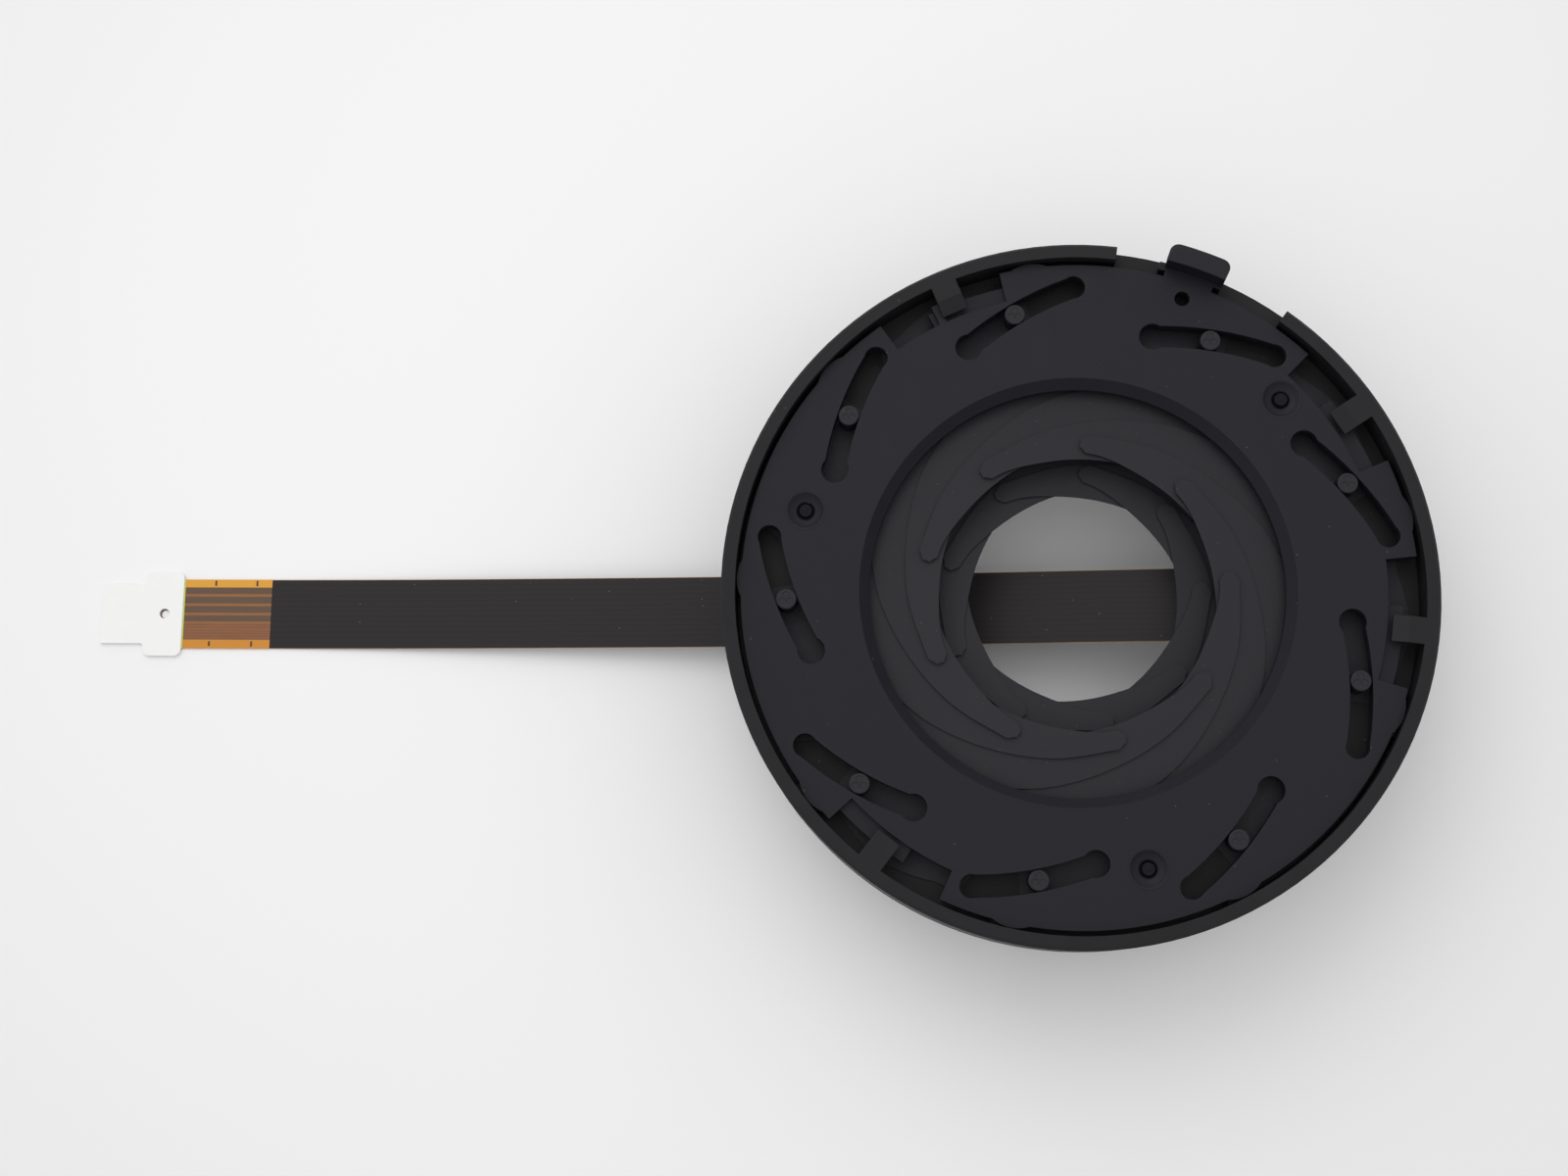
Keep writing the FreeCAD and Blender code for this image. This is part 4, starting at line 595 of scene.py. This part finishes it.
def make_finishes():
    """Makes every material once and gives each CAD node its own."""
    tints = settings("aperture_finishes")
    steel = (0.5, 0.5, 0.51)
    FINISHES.update({
        "housing_plastic": moulded_plastic("moulded black", tints.plastic),
        "cover_plastic": moulded_plastic("moulded black cover", tints.plastic, 0.6),
        "cam_plastic": moulded_plastic("charcoal cam plate", tints.plate, 0.56, turned=True, shine=0.27),
        "torn_gate": moulded_plastic("torn gate", scaled(tints.plate, 0.8), 0.75, shine=0.19),
        "ring_plastic": moulded_plastic("moulded black ring", tints.plastic, 0.5),
        "block_plastic": moulded_plastic("terminal block plastic", (0.05, 0.048, 0.045), 0.55),
        "sensor_plastic": moulded_plastic("sensor plastic", (0.025, 0.025, 0.027), 0.45),
        "leaf_coating": leaf_coating("leaf coating", tints.leaf),
        "screw_steel": worn_metal("dark plated screw", (0.22, 0.22, 0.23), 0.34, 8.0),
        "motor_steel": worn_metal("drawn can", steel, 0.3, 6.0, (1.0, 1.0, 0.15)),
        "flange_steel": worn_metal("stamped flange", (0.46, 0.46, 0.46), 0.36),
        "shaft_steel": worn_metal("ground shaft", (0.6, 0.6, 0.6), 0.22, 14.0, (0.3, 0.3, 3.0)),
        "pinion_brass": worn_metal("machined brass", (0.68, 0.47, 0.19), 0.26, 16.0),
        "tinned_copper": worn_metal("tinned terminal", (0.64, 0.62, 0.58), 0.3, 10.0),
        "gold_plating": worn_metal("gold contact", (0.8, 0.56, 0.2), 0.24, 12.0, (0.3, 1.0, 1.0)),
        "magnet_ferrite": worn_metal("ground ferrite", (0.12, 0.12, 0.125), 0.5, 9.0),
        "coil_copper": wound_copper("wound copper"),
        "coverlay_film": coverlay_film("coverlay film", tints.coverlay, False),
        "board_film": coverlay_film("fixed circuit film", tints.coverlay, True),
        "amber_film": amber_film("amber film", tints.amber),
        "wide_trace": trace_film("wide trace", (0.135, 0.08, 0.05), (0.09, 0.055, 0.036)),
        "narrow_trace": trace_film("narrow trace", (0.26, 0.105, 0.05), (0.17, 0.07, 0.035)),
        "alignment_tick": trace_film("alignment tick", (0.1, 0.05, 0.02), (0.05, 0.03, 0.015)),
        "bond_film": trace_film("bond line", (0.62, 0.66, 0.15), (0.5, 0.54, 0.11)),
        "base_film": trace_film("base film edge", (0.5, 0.27, 0.06), (0.38, 0.2, 0.05)),
        # Tail film: dark brown, partly the real film under the stiffener and partly painted shade in the
        # stiffener's hole.
        "tail_film_and_painted_shade": trace_film("tail film and painted shade", (0.17, 0.12, 0.09), (0.12, 0.09, 0.075)),
        "white_plastic": white_sheet("white stiffener", tints.stiffener),
        "solder": solder_finish("frosted solder"),
    })
    slots = {entry["node"]: entry["material_slot"] for entry in frame["record"]["subparts"]}
    slots["flex_board"] = "board_film"
    for node, thing in frame["nodes"].items():
        thing.data.materials.clear()
        thing.data.materials.append(FINISHES[slots[node]])


# Pieces

def ribbon_line():
    """Points of the route's smooth spline, read from the curve itself."""
    curve = bpy.data.curves.new("ribbon route", "CURVE")
    curve.dimensions = "3D"
    spline = curve.splines.new("NURBS")
    spline.points.add(len(RIBBON_ROUTE) - 1)
    route = [(across * MM, RIBBON_SIDE * MM, up * MM, 1.0) for across, up in RIBBON_ROUTE]
    spline.points.foreach_set("co", np.array(route).ravel())
    spline.order_u = 3
    spline.use_endpoint_u = True
    spline.resolution_u = 12
    holder = bpy.data.objects.new("ribbon route", curve)
    bpy.context.scene.collection.objects.link(holder)
    line = bpy.data.meshes.new_from_object(holder)
    points = vertices(line)
    bpy.data.objects.remove(holder)
    bpy.data.curves.remove(curve)
    bpy.data.meshes.remove(line)
    return points


def swept_strip(line, profile):
    """Closed strip along a line in the XZ plane: profile rows are (sideways, along the normal), metres."""
    along = np.gradient(line, axis=0)
    along /= np.linalg.norm(along, axis=1)[:, None]
    side = np.array([0.0, 1.0, 0.0])
    normal = np.cross(along, side)
    normal *= np.sign(normal[:, 2])[:, None]
    return capped(line[:, None, :] + profile[None, :, :1] * side
                  + profile[None, :, 1:] * normal[:, None, :])


def film_profile(half, low, high, cut):
    """Section of a film: a flat strip with its two upper corners cut at 45 degrees."""
    return [(-half, low), (half, low), (half, high - cut), (half - cut, high),
            (-half + cut, high), (-half, high - cut)]


def make_ribbon():
    """Ribbon: amber base film between two dark coverlays that are a little narrower."""
    line = ribbon_line()
    films = []
    for name, inset, low, high, finish, slot in RIBBON_FILMS:
        profile = film_profile(RIBBON_HALF - inset, low, high, FILM_CUT)
        strip = swept_strip(line, np.array(profile) * MM)
        mesh = finished(grid_mesh(name, strip, close_columns=True))
        films.append(piece(name, mesh, "housing", slot, finish))
    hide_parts("flex_ribbon")
    return films, line


def window_block(along, down, height, edge):
    """Low block on the bare window, from its distances along the window and down from its upper edge."""
    low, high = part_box("flex_window")
    start = (low.x + along[0] * MM, high.y - down[1] * MM, high.z - TRACE_SUNK * MM)
    end = (low.x + along[1] * MM, high.y - down[0] * MM, high.z + height)
    return block(start, end, edge)


def make_window_traces():
    """Copper traces in the bare window, wide ones above and narrow ones below, and its small ticks."""
    low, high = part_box("flex_window")
    whole = (0.0, (high.x - low.x) / MM)
    height = settings("aperture_shapes").trace_height
    edge = height * 0.4
    wide = [window_block(whole, down, height, edge) for down in WIDE_TRACES]
    narrow = []
    for middle in NARROW_TRACES:
        down = (middle - NARROW_HALF, middle + NARROW_HALF)
        narrow.append(window_block(whole, down, height, edge))
    ticks = []
    for middle, top, bottom in TICKS:
        along = (middle - TICK_HALF, middle + TICK_HALF)
        ticks.append(window_block(along, (top, bottom), height * 0.8, height * 0.3))
    rows = (("wide_traces", wide, "wide_trace"), ("narrow_traces", narrow, "narrow_trace"),
            ("alignment_ticks", ticks, "alignment_tick"))
    return [piece(name, joined(name, blocks), "housing", "amber_film", finish)
            for name, blocks, finish in rows]


def make_bond_line():
    """Thin line of adhesive along the stiffener's slanting inner end: a block, sheared like that end."""
    low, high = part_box("flex_window")
    ears_low, ears_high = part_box("flex_stiffener")
    slope = STIFFENER_SLANT / (ears_high.y - ears_low.y)
    start = (low.x - 0.4 * MM, low.y + 0.02 * MM, low.z + 0.01 * MM)
    end = (low.x + 0.15 * MM, high.y - 0.02 * MM, high.z + 0.05 * MM)
    mesh = block(start, end, 0.02 * MM)
    spots = vertices(mesh)
    spots[:, 0] -= slope * (ears_high.y - spots[:, 1])
    mesh.vertices.foreach_set("co", spots.ravel())
    return piece("bond_line", finished(mesh), "housing", "amber_film", "bond_film")


def rounded_outline(corners, radii, count):
    """Closed outline through corners with a quarter-like arc at each, at equal steps along it."""
    corners = np.asarray(corners, float)
    points = []
    for number, corner in enumerate(corners):
        before = corners[number - 1] - corner
        after = corners[(number + 1) % len(corners)] - corner
        before /= np.linalg.norm(before)
        after /= np.linalg.norm(after)
        half = math.acos(float(np.clip(before @ after, -1.0, 1.0))) / 2.0
        centre = corner + (before + after) / np.linalg.norm(before + after) * radii[number] / math.sin(half)
        first = corner + before * radii[number] / math.tan(half) - centre
        last = corner + after * radii[number] / math.tan(half) - centre
        share = np.linspace(0.0, 1.0, 9)[:, None]
        blend = first * (1.0 - share) + last * share
        points.append(centre + blend / np.linalg.norm(blend, axis=1)[:, None] * radii[number])
    path = np.concatenate(points + [points[0][:1]])
    run = np.concatenate([[0.0], np.cumsum(np.linalg.norm(np.diff(path, axis=0), axis=1))])
    steps = np.linspace(0.0, run[-1], count, endpoint=False)
    return np.stack([np.interp(steps, run, path[:, 0]), np.interp(steps, run, path[:, 1])], axis=-1)


def punched_sheet(name, outline, hole, radius, low, high, edge):
    """Sheet between two heights: rings run from the hole's rim straight out to the outline and back
    underneath, and every edge is cut at 45 degrees."""
    out = outline - hole
    out /= np.linalg.norm(out, axis=1)[:, None]
    rim = hole + out * radius
    wide_rim = hole + out * (radius + edge)
    inset = outline - out * edge
    rows = [(rim, low + edge), (rim, high - edge), (wide_rim, high), (inset, high),
            (outline, high - edge), (outline, low + edge), (inset, low), (wide_rim, low)]
    points = np.array([np.column_stack([flat, np.full(len(flat), height)]) for flat, height in rows])
    return finished(grid_mesh(name, points, close_rows=True, close_columns=True))


def make_stiffener():
    """White tip: a sheet with two rounded ears, a slightly slanting inner end and a round hole."""
    low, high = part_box("flex_stiffener")
    middle = (low.y + high.y) / 2.0
    upper = middle + STIFFENER_TIP_HALF
    lower = middle - STIFFENER_TIP_HALF
    ears = low.x + STIFFENER_EARS
    corners = [(high.x, high.y), (ears, high.y), (ears, upper), (low.x, upper), (low.x, lower),
               (ears, lower), (ears, low.y), (high.x - STIFFENER_SLANT, low.y)]
    radii = np.array([0.75, 0.7, 0.35, 0.12, 0.12, 0.35, 0.7, 0.75]) * MM
    outline = rounded_outline(corners, radii, count=400)
    hole = np.array([high.x - TIP_HOLE_BACK, middle])
    mesh = punched_sheet("stiffener_sheet", outline, hole, TIP_HOLE, low.z, high.z, 0.04 * MM)
    sheet = piece("stiffener_sheet", mesh, "housing", "white_plastic")
    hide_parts("flex_stiffener")
    return sheet


def make_tail_film_and_painted_shade():
    """Film that carries the contacts under the stiffener, dark brown, with a smaller hole a little off the
    other, so that a crescent of it shows in the stiffener's hole as painted shade.
    """
    low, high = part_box("flex_stiffener")
    middle = (low.y + high.y) / 2.0
    inner = high.x + 0.05 * MM
    outer = low.x + 0.05 * MM
    upper = middle + TAIL_HALF
    lower = middle - TAIL_HALF
    corners = [(inner, upper), (outer, upper), (outer, lower), (inner, lower)]
    outline = rounded_outline(corners, np.full(4, 0.05 * MM), count=300)
    # The hole is shifted off the stiffener's hole, so the film's rim shows in it as painted shade.
    hole = np.array([high.x - TIP_HOLE_BACK, middle]) + PAINTED_SHADE_SHIFT
    mesh = punched_sheet("tail_film_and_painted_shade", outline, hole, FILM_HOLE, 0.004 * MM, low.z - 0.001 * MM,
                         0.004 * MM)
    return piece("tail_film_and_painted_shade", mesh, "housing", "amber_film", "tail_film_and_painted_shade")


def make_pin_caps():
    """Ends of the upper cam pins: a low rim round a sunk three-lobed mark."""
    depth = settings("aperture_shapes").pin_mark_depth

    def relief(x, y):
        """Three round lobes at 120 degrees, sunk in a disc, with a small hub between them."""
        sunk = np.zeros_like(x)
        for turn in (90.0, 210.0, 330.0):
            centre = polar(0.42, turn)
            reach = np.hypot(x - centre[0], y - centre[1]) / MM
            sunk = np.maximum(sunk, 1.0 - smooth_step(0.24, 0.34, reach))
        return -sunk * depth * (np.hypot(x, y) < 0.86 * MM)

    flat = [(radius, 0.05) for radius in np.linspace(0.0, 0.84, 18)]
    profile = np.array(flat + list(PIN_CAP_EDGE)) * MM
    for number in range(LEAF_COUNT):
        place = polar(PIN_CIRCLE, FIRST_PIN + 360.0 / LEAF_COUNT * number, PIN_FACE)
        points = lathe(profile, 60, relief)
        mesh = finished(grid_mesh("pin cap", points + place, close_columns=True))
        piece("pin_cap_%d" % (number + 1), mesh, "upper_leaf_%d" % (number + 1), "leaf_coating")


def make_gate_dimples():
    """Smooth bowls where the cam plate's mould was filled, each with the torn stub of its gate."""
    depth = settings("aperture_shapes").dimple_depth / MM
    start, end = BOWL_REACH
    inner = np.linspace(start, end, 24)
    bowl = np.stack([inner, -depth * (1.0 - ((inner - start) / (end - start)) ** 2.4)], axis=-1)
    bowl = np.concatenate([[(0.0, -depth)], bowl, BOWL_RIM])
    rows = (("gate_dimple", bowl, "cam_plastic"), ("gate_stub", np.array(GATE_STUB), "torn_gate"))
    for number in range(3):
        place = polar(DIMPLE_CIRCLE, FIRST_DIMPLE + 120.0 * number, PLATE_TOP)
        for name, profile, finish in rows:
            mesh = finished(grid_mesh(name, lathe(profile * MM, 72) + place, close_columns=True))
            piece("%s_%d" % (name, number + 1), mesh, "cam_plate", "cam_plastic", finish)


def make_paddle_cap():
    """Paddle's rounded head: an outline worked out flat, as length along the rim and distance from the
    axis, then bent round the axis; its upper edge is drawn in more the farther out it lies."""
    reach = 35.0
    start = math.radians(PADDLE_ENDS[0]) * reach
    end = math.radians(PADDLE_ENDS[1]) * reach
    corners = [(start, PADDLE_INNER), (end, PADDLE_INNER), (end, PADDLE_OUTER), (start, PADDLE_OUTER)]
    outline = rounded_outline(corners, (0.12, 0.12, 0.9, 0.9), count=240)
    middle = np.array([(start + end) / 2.0, 34.6])
    drawn_in = 0.25 * np.clip((outline[:, 1:] - 34.4) / 1.0, 0.0, 1.0)
    inward = (middle - outline) / np.linalg.norm(middle - outline, axis=1)[:, None]
    rows = [(outline, PADDLE_FOOT), (outline, PADDLE_TOP - 0.2),
            (outline + inward * drawn_in * 0.4, PADDLE_TOP - 0.06),
            (outline + inward * (drawn_in + 0.01), PADDLE_TOP)]
    points = []
    for flat, height in rows:
        turn = flat[:, 0] / reach
        points.append(np.stack([flat[:, 1] * np.cos(turn), flat[:, 1] * np.sin(turn),
                                np.full(len(turn), height)], axis=-1) * MM)
    mesh = grid_mesh("paddle cap", np.array(points), close_columns=True)
    work = bmesh.new()
    work.from_mesh(mesh)
    bmesh.ops.holes_fill(work, edges=work.edges, sides=0)
    work.to_mesh(mesh)
    work.free()
    piece("paddle_cap", finished(mesh), "cam_plate", "cam_plastic")


def screw_head(radius, height, recess, turn):
    """Downward-facing pan head with a cross recess: relief sinks where either arm's width is met."""
    half = 0.17 * radius
    reach = 0.62 * radius

    def arm(side, length):
        """1 inside one arm of the cross, from the distances beside and along it, and 0 outside."""
        beside = 1.0 - smooth_step(half * 0.8, half * 1.2, side)
        return beside * (1.0 - smooth_step(reach * 0.85, reach, length))

    def relief(x, y):
        """Cross of two arms, each tapering to its end, sunk into the crown."""
        c = math.cos(turn)
        s = math.sin(turn)
        across = np.abs(x * c + y * s)
        along = np.abs(y * c - x * s)
        return np.maximum(arm(across, along), arm(along, across)) * recess

    shares = np.linspace(0.0, 0.7, 22)
    crown = np.stack([shares, 0.12 * shares ** 2 - 1.0], axis=-1)
    flank = [(0.8, -0.9), (0.9, -0.78), (0.97, -0.6), (1.0, -0.4), (1.0, 0.0), (0.0, 0.0)]
    return lathe(np.concatenate([crown, flank]) * (radius, height), 64, relief)


def make_screw(place, head, recess, turn, top):
    """Meshes of a screw: its head below a face and its thread from there up to a height."""
    return [grid_mesh("head", screw_head(*head, recess, turn) + place, close_columns=True),
            thread(place, SHANK_RADIUS, top - place[2])]


def make_screws():
    """Cross-head screws under the cover and the motor's flange, in place of the plain CAD ones."""
    recess = settings("aperture_shapes").screw_recess
    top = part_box("cover_screws")[1].z
    cover = []
    for number in range(4):
        place = polar(COVER_SCREW_CIRCLE, FIRST_COVER_SCREW + 90.0 * number, COVER_SCREW_FACE)
        cover += make_screw(place, COVER_HEAD, recess, 0.4 + number, top)
    screws = piece("cover_screw_set", joined("cover_screw_set", cover), "housing", "screw_steel")
    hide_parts("cover_screws")
    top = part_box("motor_screws")[1].z
    middle = polar(MOTOR_CIRCLE, MOTOR_ANGLE, FLANGE_SCREW_FACE)
    flange = []
    for number, side in enumerate((1.0, -1.0)):
        place = middle + polar(FLANGE_SCREW_OFFSET * side, MOTOR_ANGLE + 90.0)
        flange += make_screw(place, FLANGE_HEAD, recess * 0.8, 1.1 + number, top)
    pair = piece("motor_screw_set", joined("motor_screw_set", flange), "housing", "screw_steel")
    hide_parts("motor_screws")


def thread(place, radius, length):
    """Screw shank whose radius rises and falls once a pitch as it climbs: the thread."""
    rows = int(length / PITCH * 8)
    height = np.linspace(0.0, length, rows)[:, None]
    angle = np.linspace(0.0, 2.0 * math.pi, 24, endpoint=False)[None, :]
    wave = np.abs(((height / PITCH + angle / (2.0 * math.pi)) % 1.0) - 0.5) * 2.0
    reach = radius * (1.0 - 0.16 * wave)
    reach = reach * np.clip((length - height) / PITCH, 0.35, 1.0)
    points = np.stack([reach * np.cos(angle), reach * np.sin(angle),
                       np.broadcast_to(height, reach.shape)], axis=-1) + place
    return grid_mesh("thread", capped(points), close_columns=True)


def bead(centre, radius, height, section, counts):
    """Ring of elliptical section, given by the section's two radii and the points round it and the axis."""
    turn = np.linspace(0.0, 2.0 * math.pi, counts[0], endpoint=False)
    profile = np.stack([radius + section[0] * np.cos(turn), height + section[1] * np.sin(turn)], axis=-1)
    return grid_mesh("bead", lathe(profile * MM, counts[1]) + centre, close_rows=True, close_columns=True)


def make_can_details():
    """Motor can's two seams, and the collar in the middle of its floor."""
    low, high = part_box("motor_can")
    centre = polar(MOTOR_CIRCLE, MOTOR_ANGLE)
    middle = (low.z + high.z) / 2.0 / MM
    seams = [bead(centre, 4.4, middle + step, (0.05, 0.12), (12, 96)) for step in (-0.35, 0.35)]
    seams.append(bead(centre, 1.35, low.z / MM + 0.02, (0.25, 0.06), (16, 72)))
    piece("can_seams", joined("can_seams", seams), "housing", "motor_steel")


def solder_dome(place, across, along, height):
    """Half of an ellipsoid that hangs below a place: height falls with the root of one less r squared."""
    share = np.sin(np.linspace(0.0, math.pi / 2.0, 9))[:, None]
    angle = np.linspace(0.0, 2.0 * math.pi, 28, endpoint=False)[None, :]
    x = across * share * np.cos(angle)
    y = along * share * np.sin(angle)
    z = -height * np.sqrt(1.0 - share ** 2) + 0.0 * angle
    points = np.stack([x, y, z], axis=-1) + place
    closing = np.broadcast_to(place, (1,) + points.shape[1:])
    return grid_mesh("solder", np.concatenate([points, closing]), close_columns=True)


def make_solder():
    """Solder joints of the motor's terminals and the sensor's leads on the fixed circuit."""
    height = settings("aperture_shapes").solder_height
    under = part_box("flex_board")[0].z
    joints = []
    for node, turn in (("motor_terminals", MOTOR_ANGLE), ("sensor_leads", SENSOR_ANGLE)):
        spots = vertices(frame["nodes"][node].data)
        along = polar(1.0, turn) / MM
        across = polar(1.0, turn + 90.0) / MM
        reach = spots @ along
        side = spots @ across
        ends = [reach.min()] if node == "motor_terminals" else [reach.min(), reach.max()]
        for end in ends:
            near = np.abs(reach - end) < 0.01 * MM
            for middle in np.unique(np.round(side[near] / MM, 1)):
                rows = near & (np.abs(side / MM - middle) < 0.2)
                place = spots[rows].mean(axis=0)
                place[2] = under + 0.005 * MM
                joints.append(solder_dome(place, 0.32 * MM, 0.32 * MM, height + 0.3 * MM))
    piece("solder_joints", joined("solder_joints", joints), "housing", "tinned_copper", "solder")


# Stage

def make_table():
    """Pale table under the posts' feet."""
    mesh = bpy.data.meshes.new("table")
    signs = ((-1, -1), (1, -1), (1, 1), (-1, 1))
    corners = [(x * TABLE_HALF, y * TABLE_HALF, TABLE_HEIGHT) for x, y in signs]
    mesh.from_pydata(corners, [], [(0, 1, 2, 3)])
    table = bpy.data.objects.new("table", mesh)
    bpy.context.scene.collection.objects.link(table)
    mesh.materials.append(table_finish("pale table", settings("aperture_stage").table))


def make_light():
    """White sky, brighter towards the upper left, and one large soft lamp from there."""
    stage = settings("aperture_stage")
    world = bpy.data.worlds.new("studio")
    bpy.context.scene.world = world
    world.use_nodes = True
    tree = world.node_tree
    back = tree.nodes["Background"]
    back.inputs["Color"].default_value = (1.0, 1.0, 1.0, 1.0)
    direction = tree.nodes.new("ShaderNodeTexCoord")
    facing = tree.nodes.new("ShaderNodeVectorMath")
    facing.operation = "DOT_PRODUCT"
    facing.inputs[1].default_value = BRIGHT_SIDE
    strength = tree.nodes.new("ShaderNodeMapRange")
    for name, value in (("From Min", -0.2), ("From Max", 0.95), ("To Min", stage.sky),
                        ("To Max", stage.sky + stage.glow)):
        strength.inputs[name].default_value = value
    tree.links.new(direction.outputs["Generated"], facing.inputs[0])
    tree.links.new(facing.outputs["Value"], strength.inputs["Value"])
    tree.links.new(strength.outputs["Result"], back.inputs["Strength"])
    light = bpy.data.lights.new("soft lamp", "AREA")
    light.shape = "DISK"
    light.size = LAMP_SIZE
    light.energy = stage.lamp
    lamp = bpy.data.objects.new("soft lamp", light)
    bpy.context.scene.collection.objects.link(lamp)
    lamp.location = LAMP_PLACE
    lamp.rotation_euler = (Vector((0.0, 0.0, 0.01)) - Vector(LAMP_PLACE)).to_track_quat("-Z", "Y").to_euler()


def make_camera():
    """Camera at the photograph's place, turned by its own right, up and back axes."""
    right = Vector(CAMERA_RIGHT).normalized()
    back = Vector(CAMERA_BACK).normalized()
    up = back.cross(right).normalized()
    right = up.cross(back)
    lens = bpy.data.cameras.new("view")
    lens.lens = settings("aperture_stage").lens
    lens.sensor_width = 36.0
    lens.clip_start = 0.01
    camera = bpy.data.objects.new("view", lens)
    bpy.context.scene.collection.objects.link(camera)
    turn = Matrix((right, up, back)).transposed().to_4x4()
    camera.matrix_world = Matrix.Translation(CAMERA_PLACE) @ turn
    bpy.context.scene.camera = camera
    bpy.context.scene.view_settings.view_transform = "Standard"


# Operators

class APERTURE_OT_stage(bpy.types.Operator):
    """Make the camera, the light and the table"""
    bl_idname = "aperture.stage"
    bl_label = "Stage"

    def execute(self, context):
        make_camera()
        make_light()
        make_table()
        return {"FINISHED"}


class APERTURE_OT_finishes(bpy.types.Operator):
    """Make the finishes and put them on the CAD nodes"""
    bl_idname = "aperture.finishes"
    bl_label = "Finishes"

    def execute(self, context):
        make_finishes()
        return {"FINISHED"}


class APERTURE_OT_ribbon(bpy.types.Operator):
    """Make the flexible ribbon with the traces and bond line at its end"""
    bl_idname = "aperture.ribbon"
    bl_label = "Ribbon"

    def execute(self, context):
        films, line = make_ribbon()
        traces = make_window_traces()
        bond = make_bond_line()
        tip = make_stiffener()
        tail = make_tail_film_and_painted_shade()
        ends = [frame["nodes"][name] for name in ("flex_window", "flex_contacts")]
        films[1:] + [bond, tip, tail] + traces + ends
        return {"FINISHED"}


class APERTURE_OT_pin_caps(bpy.types.Operator):
    """Make the marked ends of the cam pins"""
    bl_idname = "aperture.pin_caps"
    bl_label = "Pin caps"

    def execute(self, context):
        make_pin_caps()
        return {"FINISHED"}


class APERTURE_OT_gates(bpy.types.Operator):
    """Make the bowls and torn gates of the cam plate"""
    bl_idname = "aperture.gates"
    bl_label = "Gates"

    def execute(self, context):
        make_gate_dimples()
        return {"FINISHED"}


class APERTURE_OT_paddle(bpy.types.Operator):
    """Make the paddle's rounded head"""
    bl_idname = "aperture.paddle"
    bl_label = "Paddle"

    def execute(self, context):
        make_paddle_cap()
        return {"FINISHED"}


class APERTURE_OT_screws(bpy.types.Operator):
    """Make the screws of the cover and the motor"""
    bl_idname = "aperture.screws"
    bl_label = "Screws"

    def execute(self, context):
        make_screws()
        return {"FINISHED"}


class APERTURE_OT_seams(bpy.types.Operator):
    """Make the motor can's seams"""
    bl_idname = "aperture.seams"
    bl_label = "Motor seams"

    def execute(self, context):
        make_can_details()
        return {"FINISHED"}


class APERTURE_OT_solder(bpy.types.Operator):
    """Make the solder joints"""
    bl_idname = "aperture.solder"
    bl_label = "Solder"

    def execute(self, context):
        make_solder()
        return {"FINISHED"}


class APERTURE_PT_panel(bpy.types.Panel):
    """Lists the steps and their sizes"""
    bl_idname = "APERTURE_PT_panel"
    bl_label = "Lens aperture unit"
    bl_space_type = "VIEW_3D"
    bl_region_type = "UI"
    bl_category = "Aperture Unit"

    def draw(self, context):
        for group in ("aperture_shapes", "aperture_finishes", "aperture_stage"):
            box = self.layout.box()
            holder = getattr(context.scene, group)
            for name in holder.__annotations__:
                box.prop(holder, name)
        for operator in OPERATORS:
            self.layout.operator(operator.bl_idname)


GROUPS = {"aperture_shapes": ApertureShapes, "aperture_finishes": ApertureFinishes,
          "aperture_stage": ApertureStage}
OPERATORS = (APERTURE_OT_stage, APERTURE_OT_finishes, APERTURE_OT_ribbon, APERTURE_OT_pin_caps,
             APERTURE_OT_gates, APERTURE_OT_paddle, APERTURE_OT_screws, APERTURE_OT_seams,
             APERTURE_OT_solder)
CLASSES = tuple(GROUPS.values()) + OPERATORS + (APERTURE_PT_panel,)


def register():
    """Adds the classes and the scene's property groups."""
    for kind in CLASSES:
        bpy.utils.register_class(kind)
    for name, kind in GROUPS.items():
        setattr(bpy.types.Scene, name, bpy.props.PointerProperty(type=kind))


def unregister():
    """Removes them again."""
    for name in GROUPS:
        delattr(bpy.types.Scene, name)
    for kind in reversed(CLASSES):
        bpy.utils.unregister_class(kind)


def main():
    """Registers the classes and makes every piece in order."""
    register()
    bpy.ops.aperture.stage()
    bpy.ops.aperture.finishes()
    bpy.ops.aperture.ribbon()
    bpy.ops.aperture.pin_caps()
    bpy.ops.aperture.gates()
    bpy.ops.aperture.paddle()
    bpy.ops.aperture.screws()
    bpy.ops.aperture.seams()
    bpy.ops.aperture.solder()


if __name__ == "__main__":
    main()
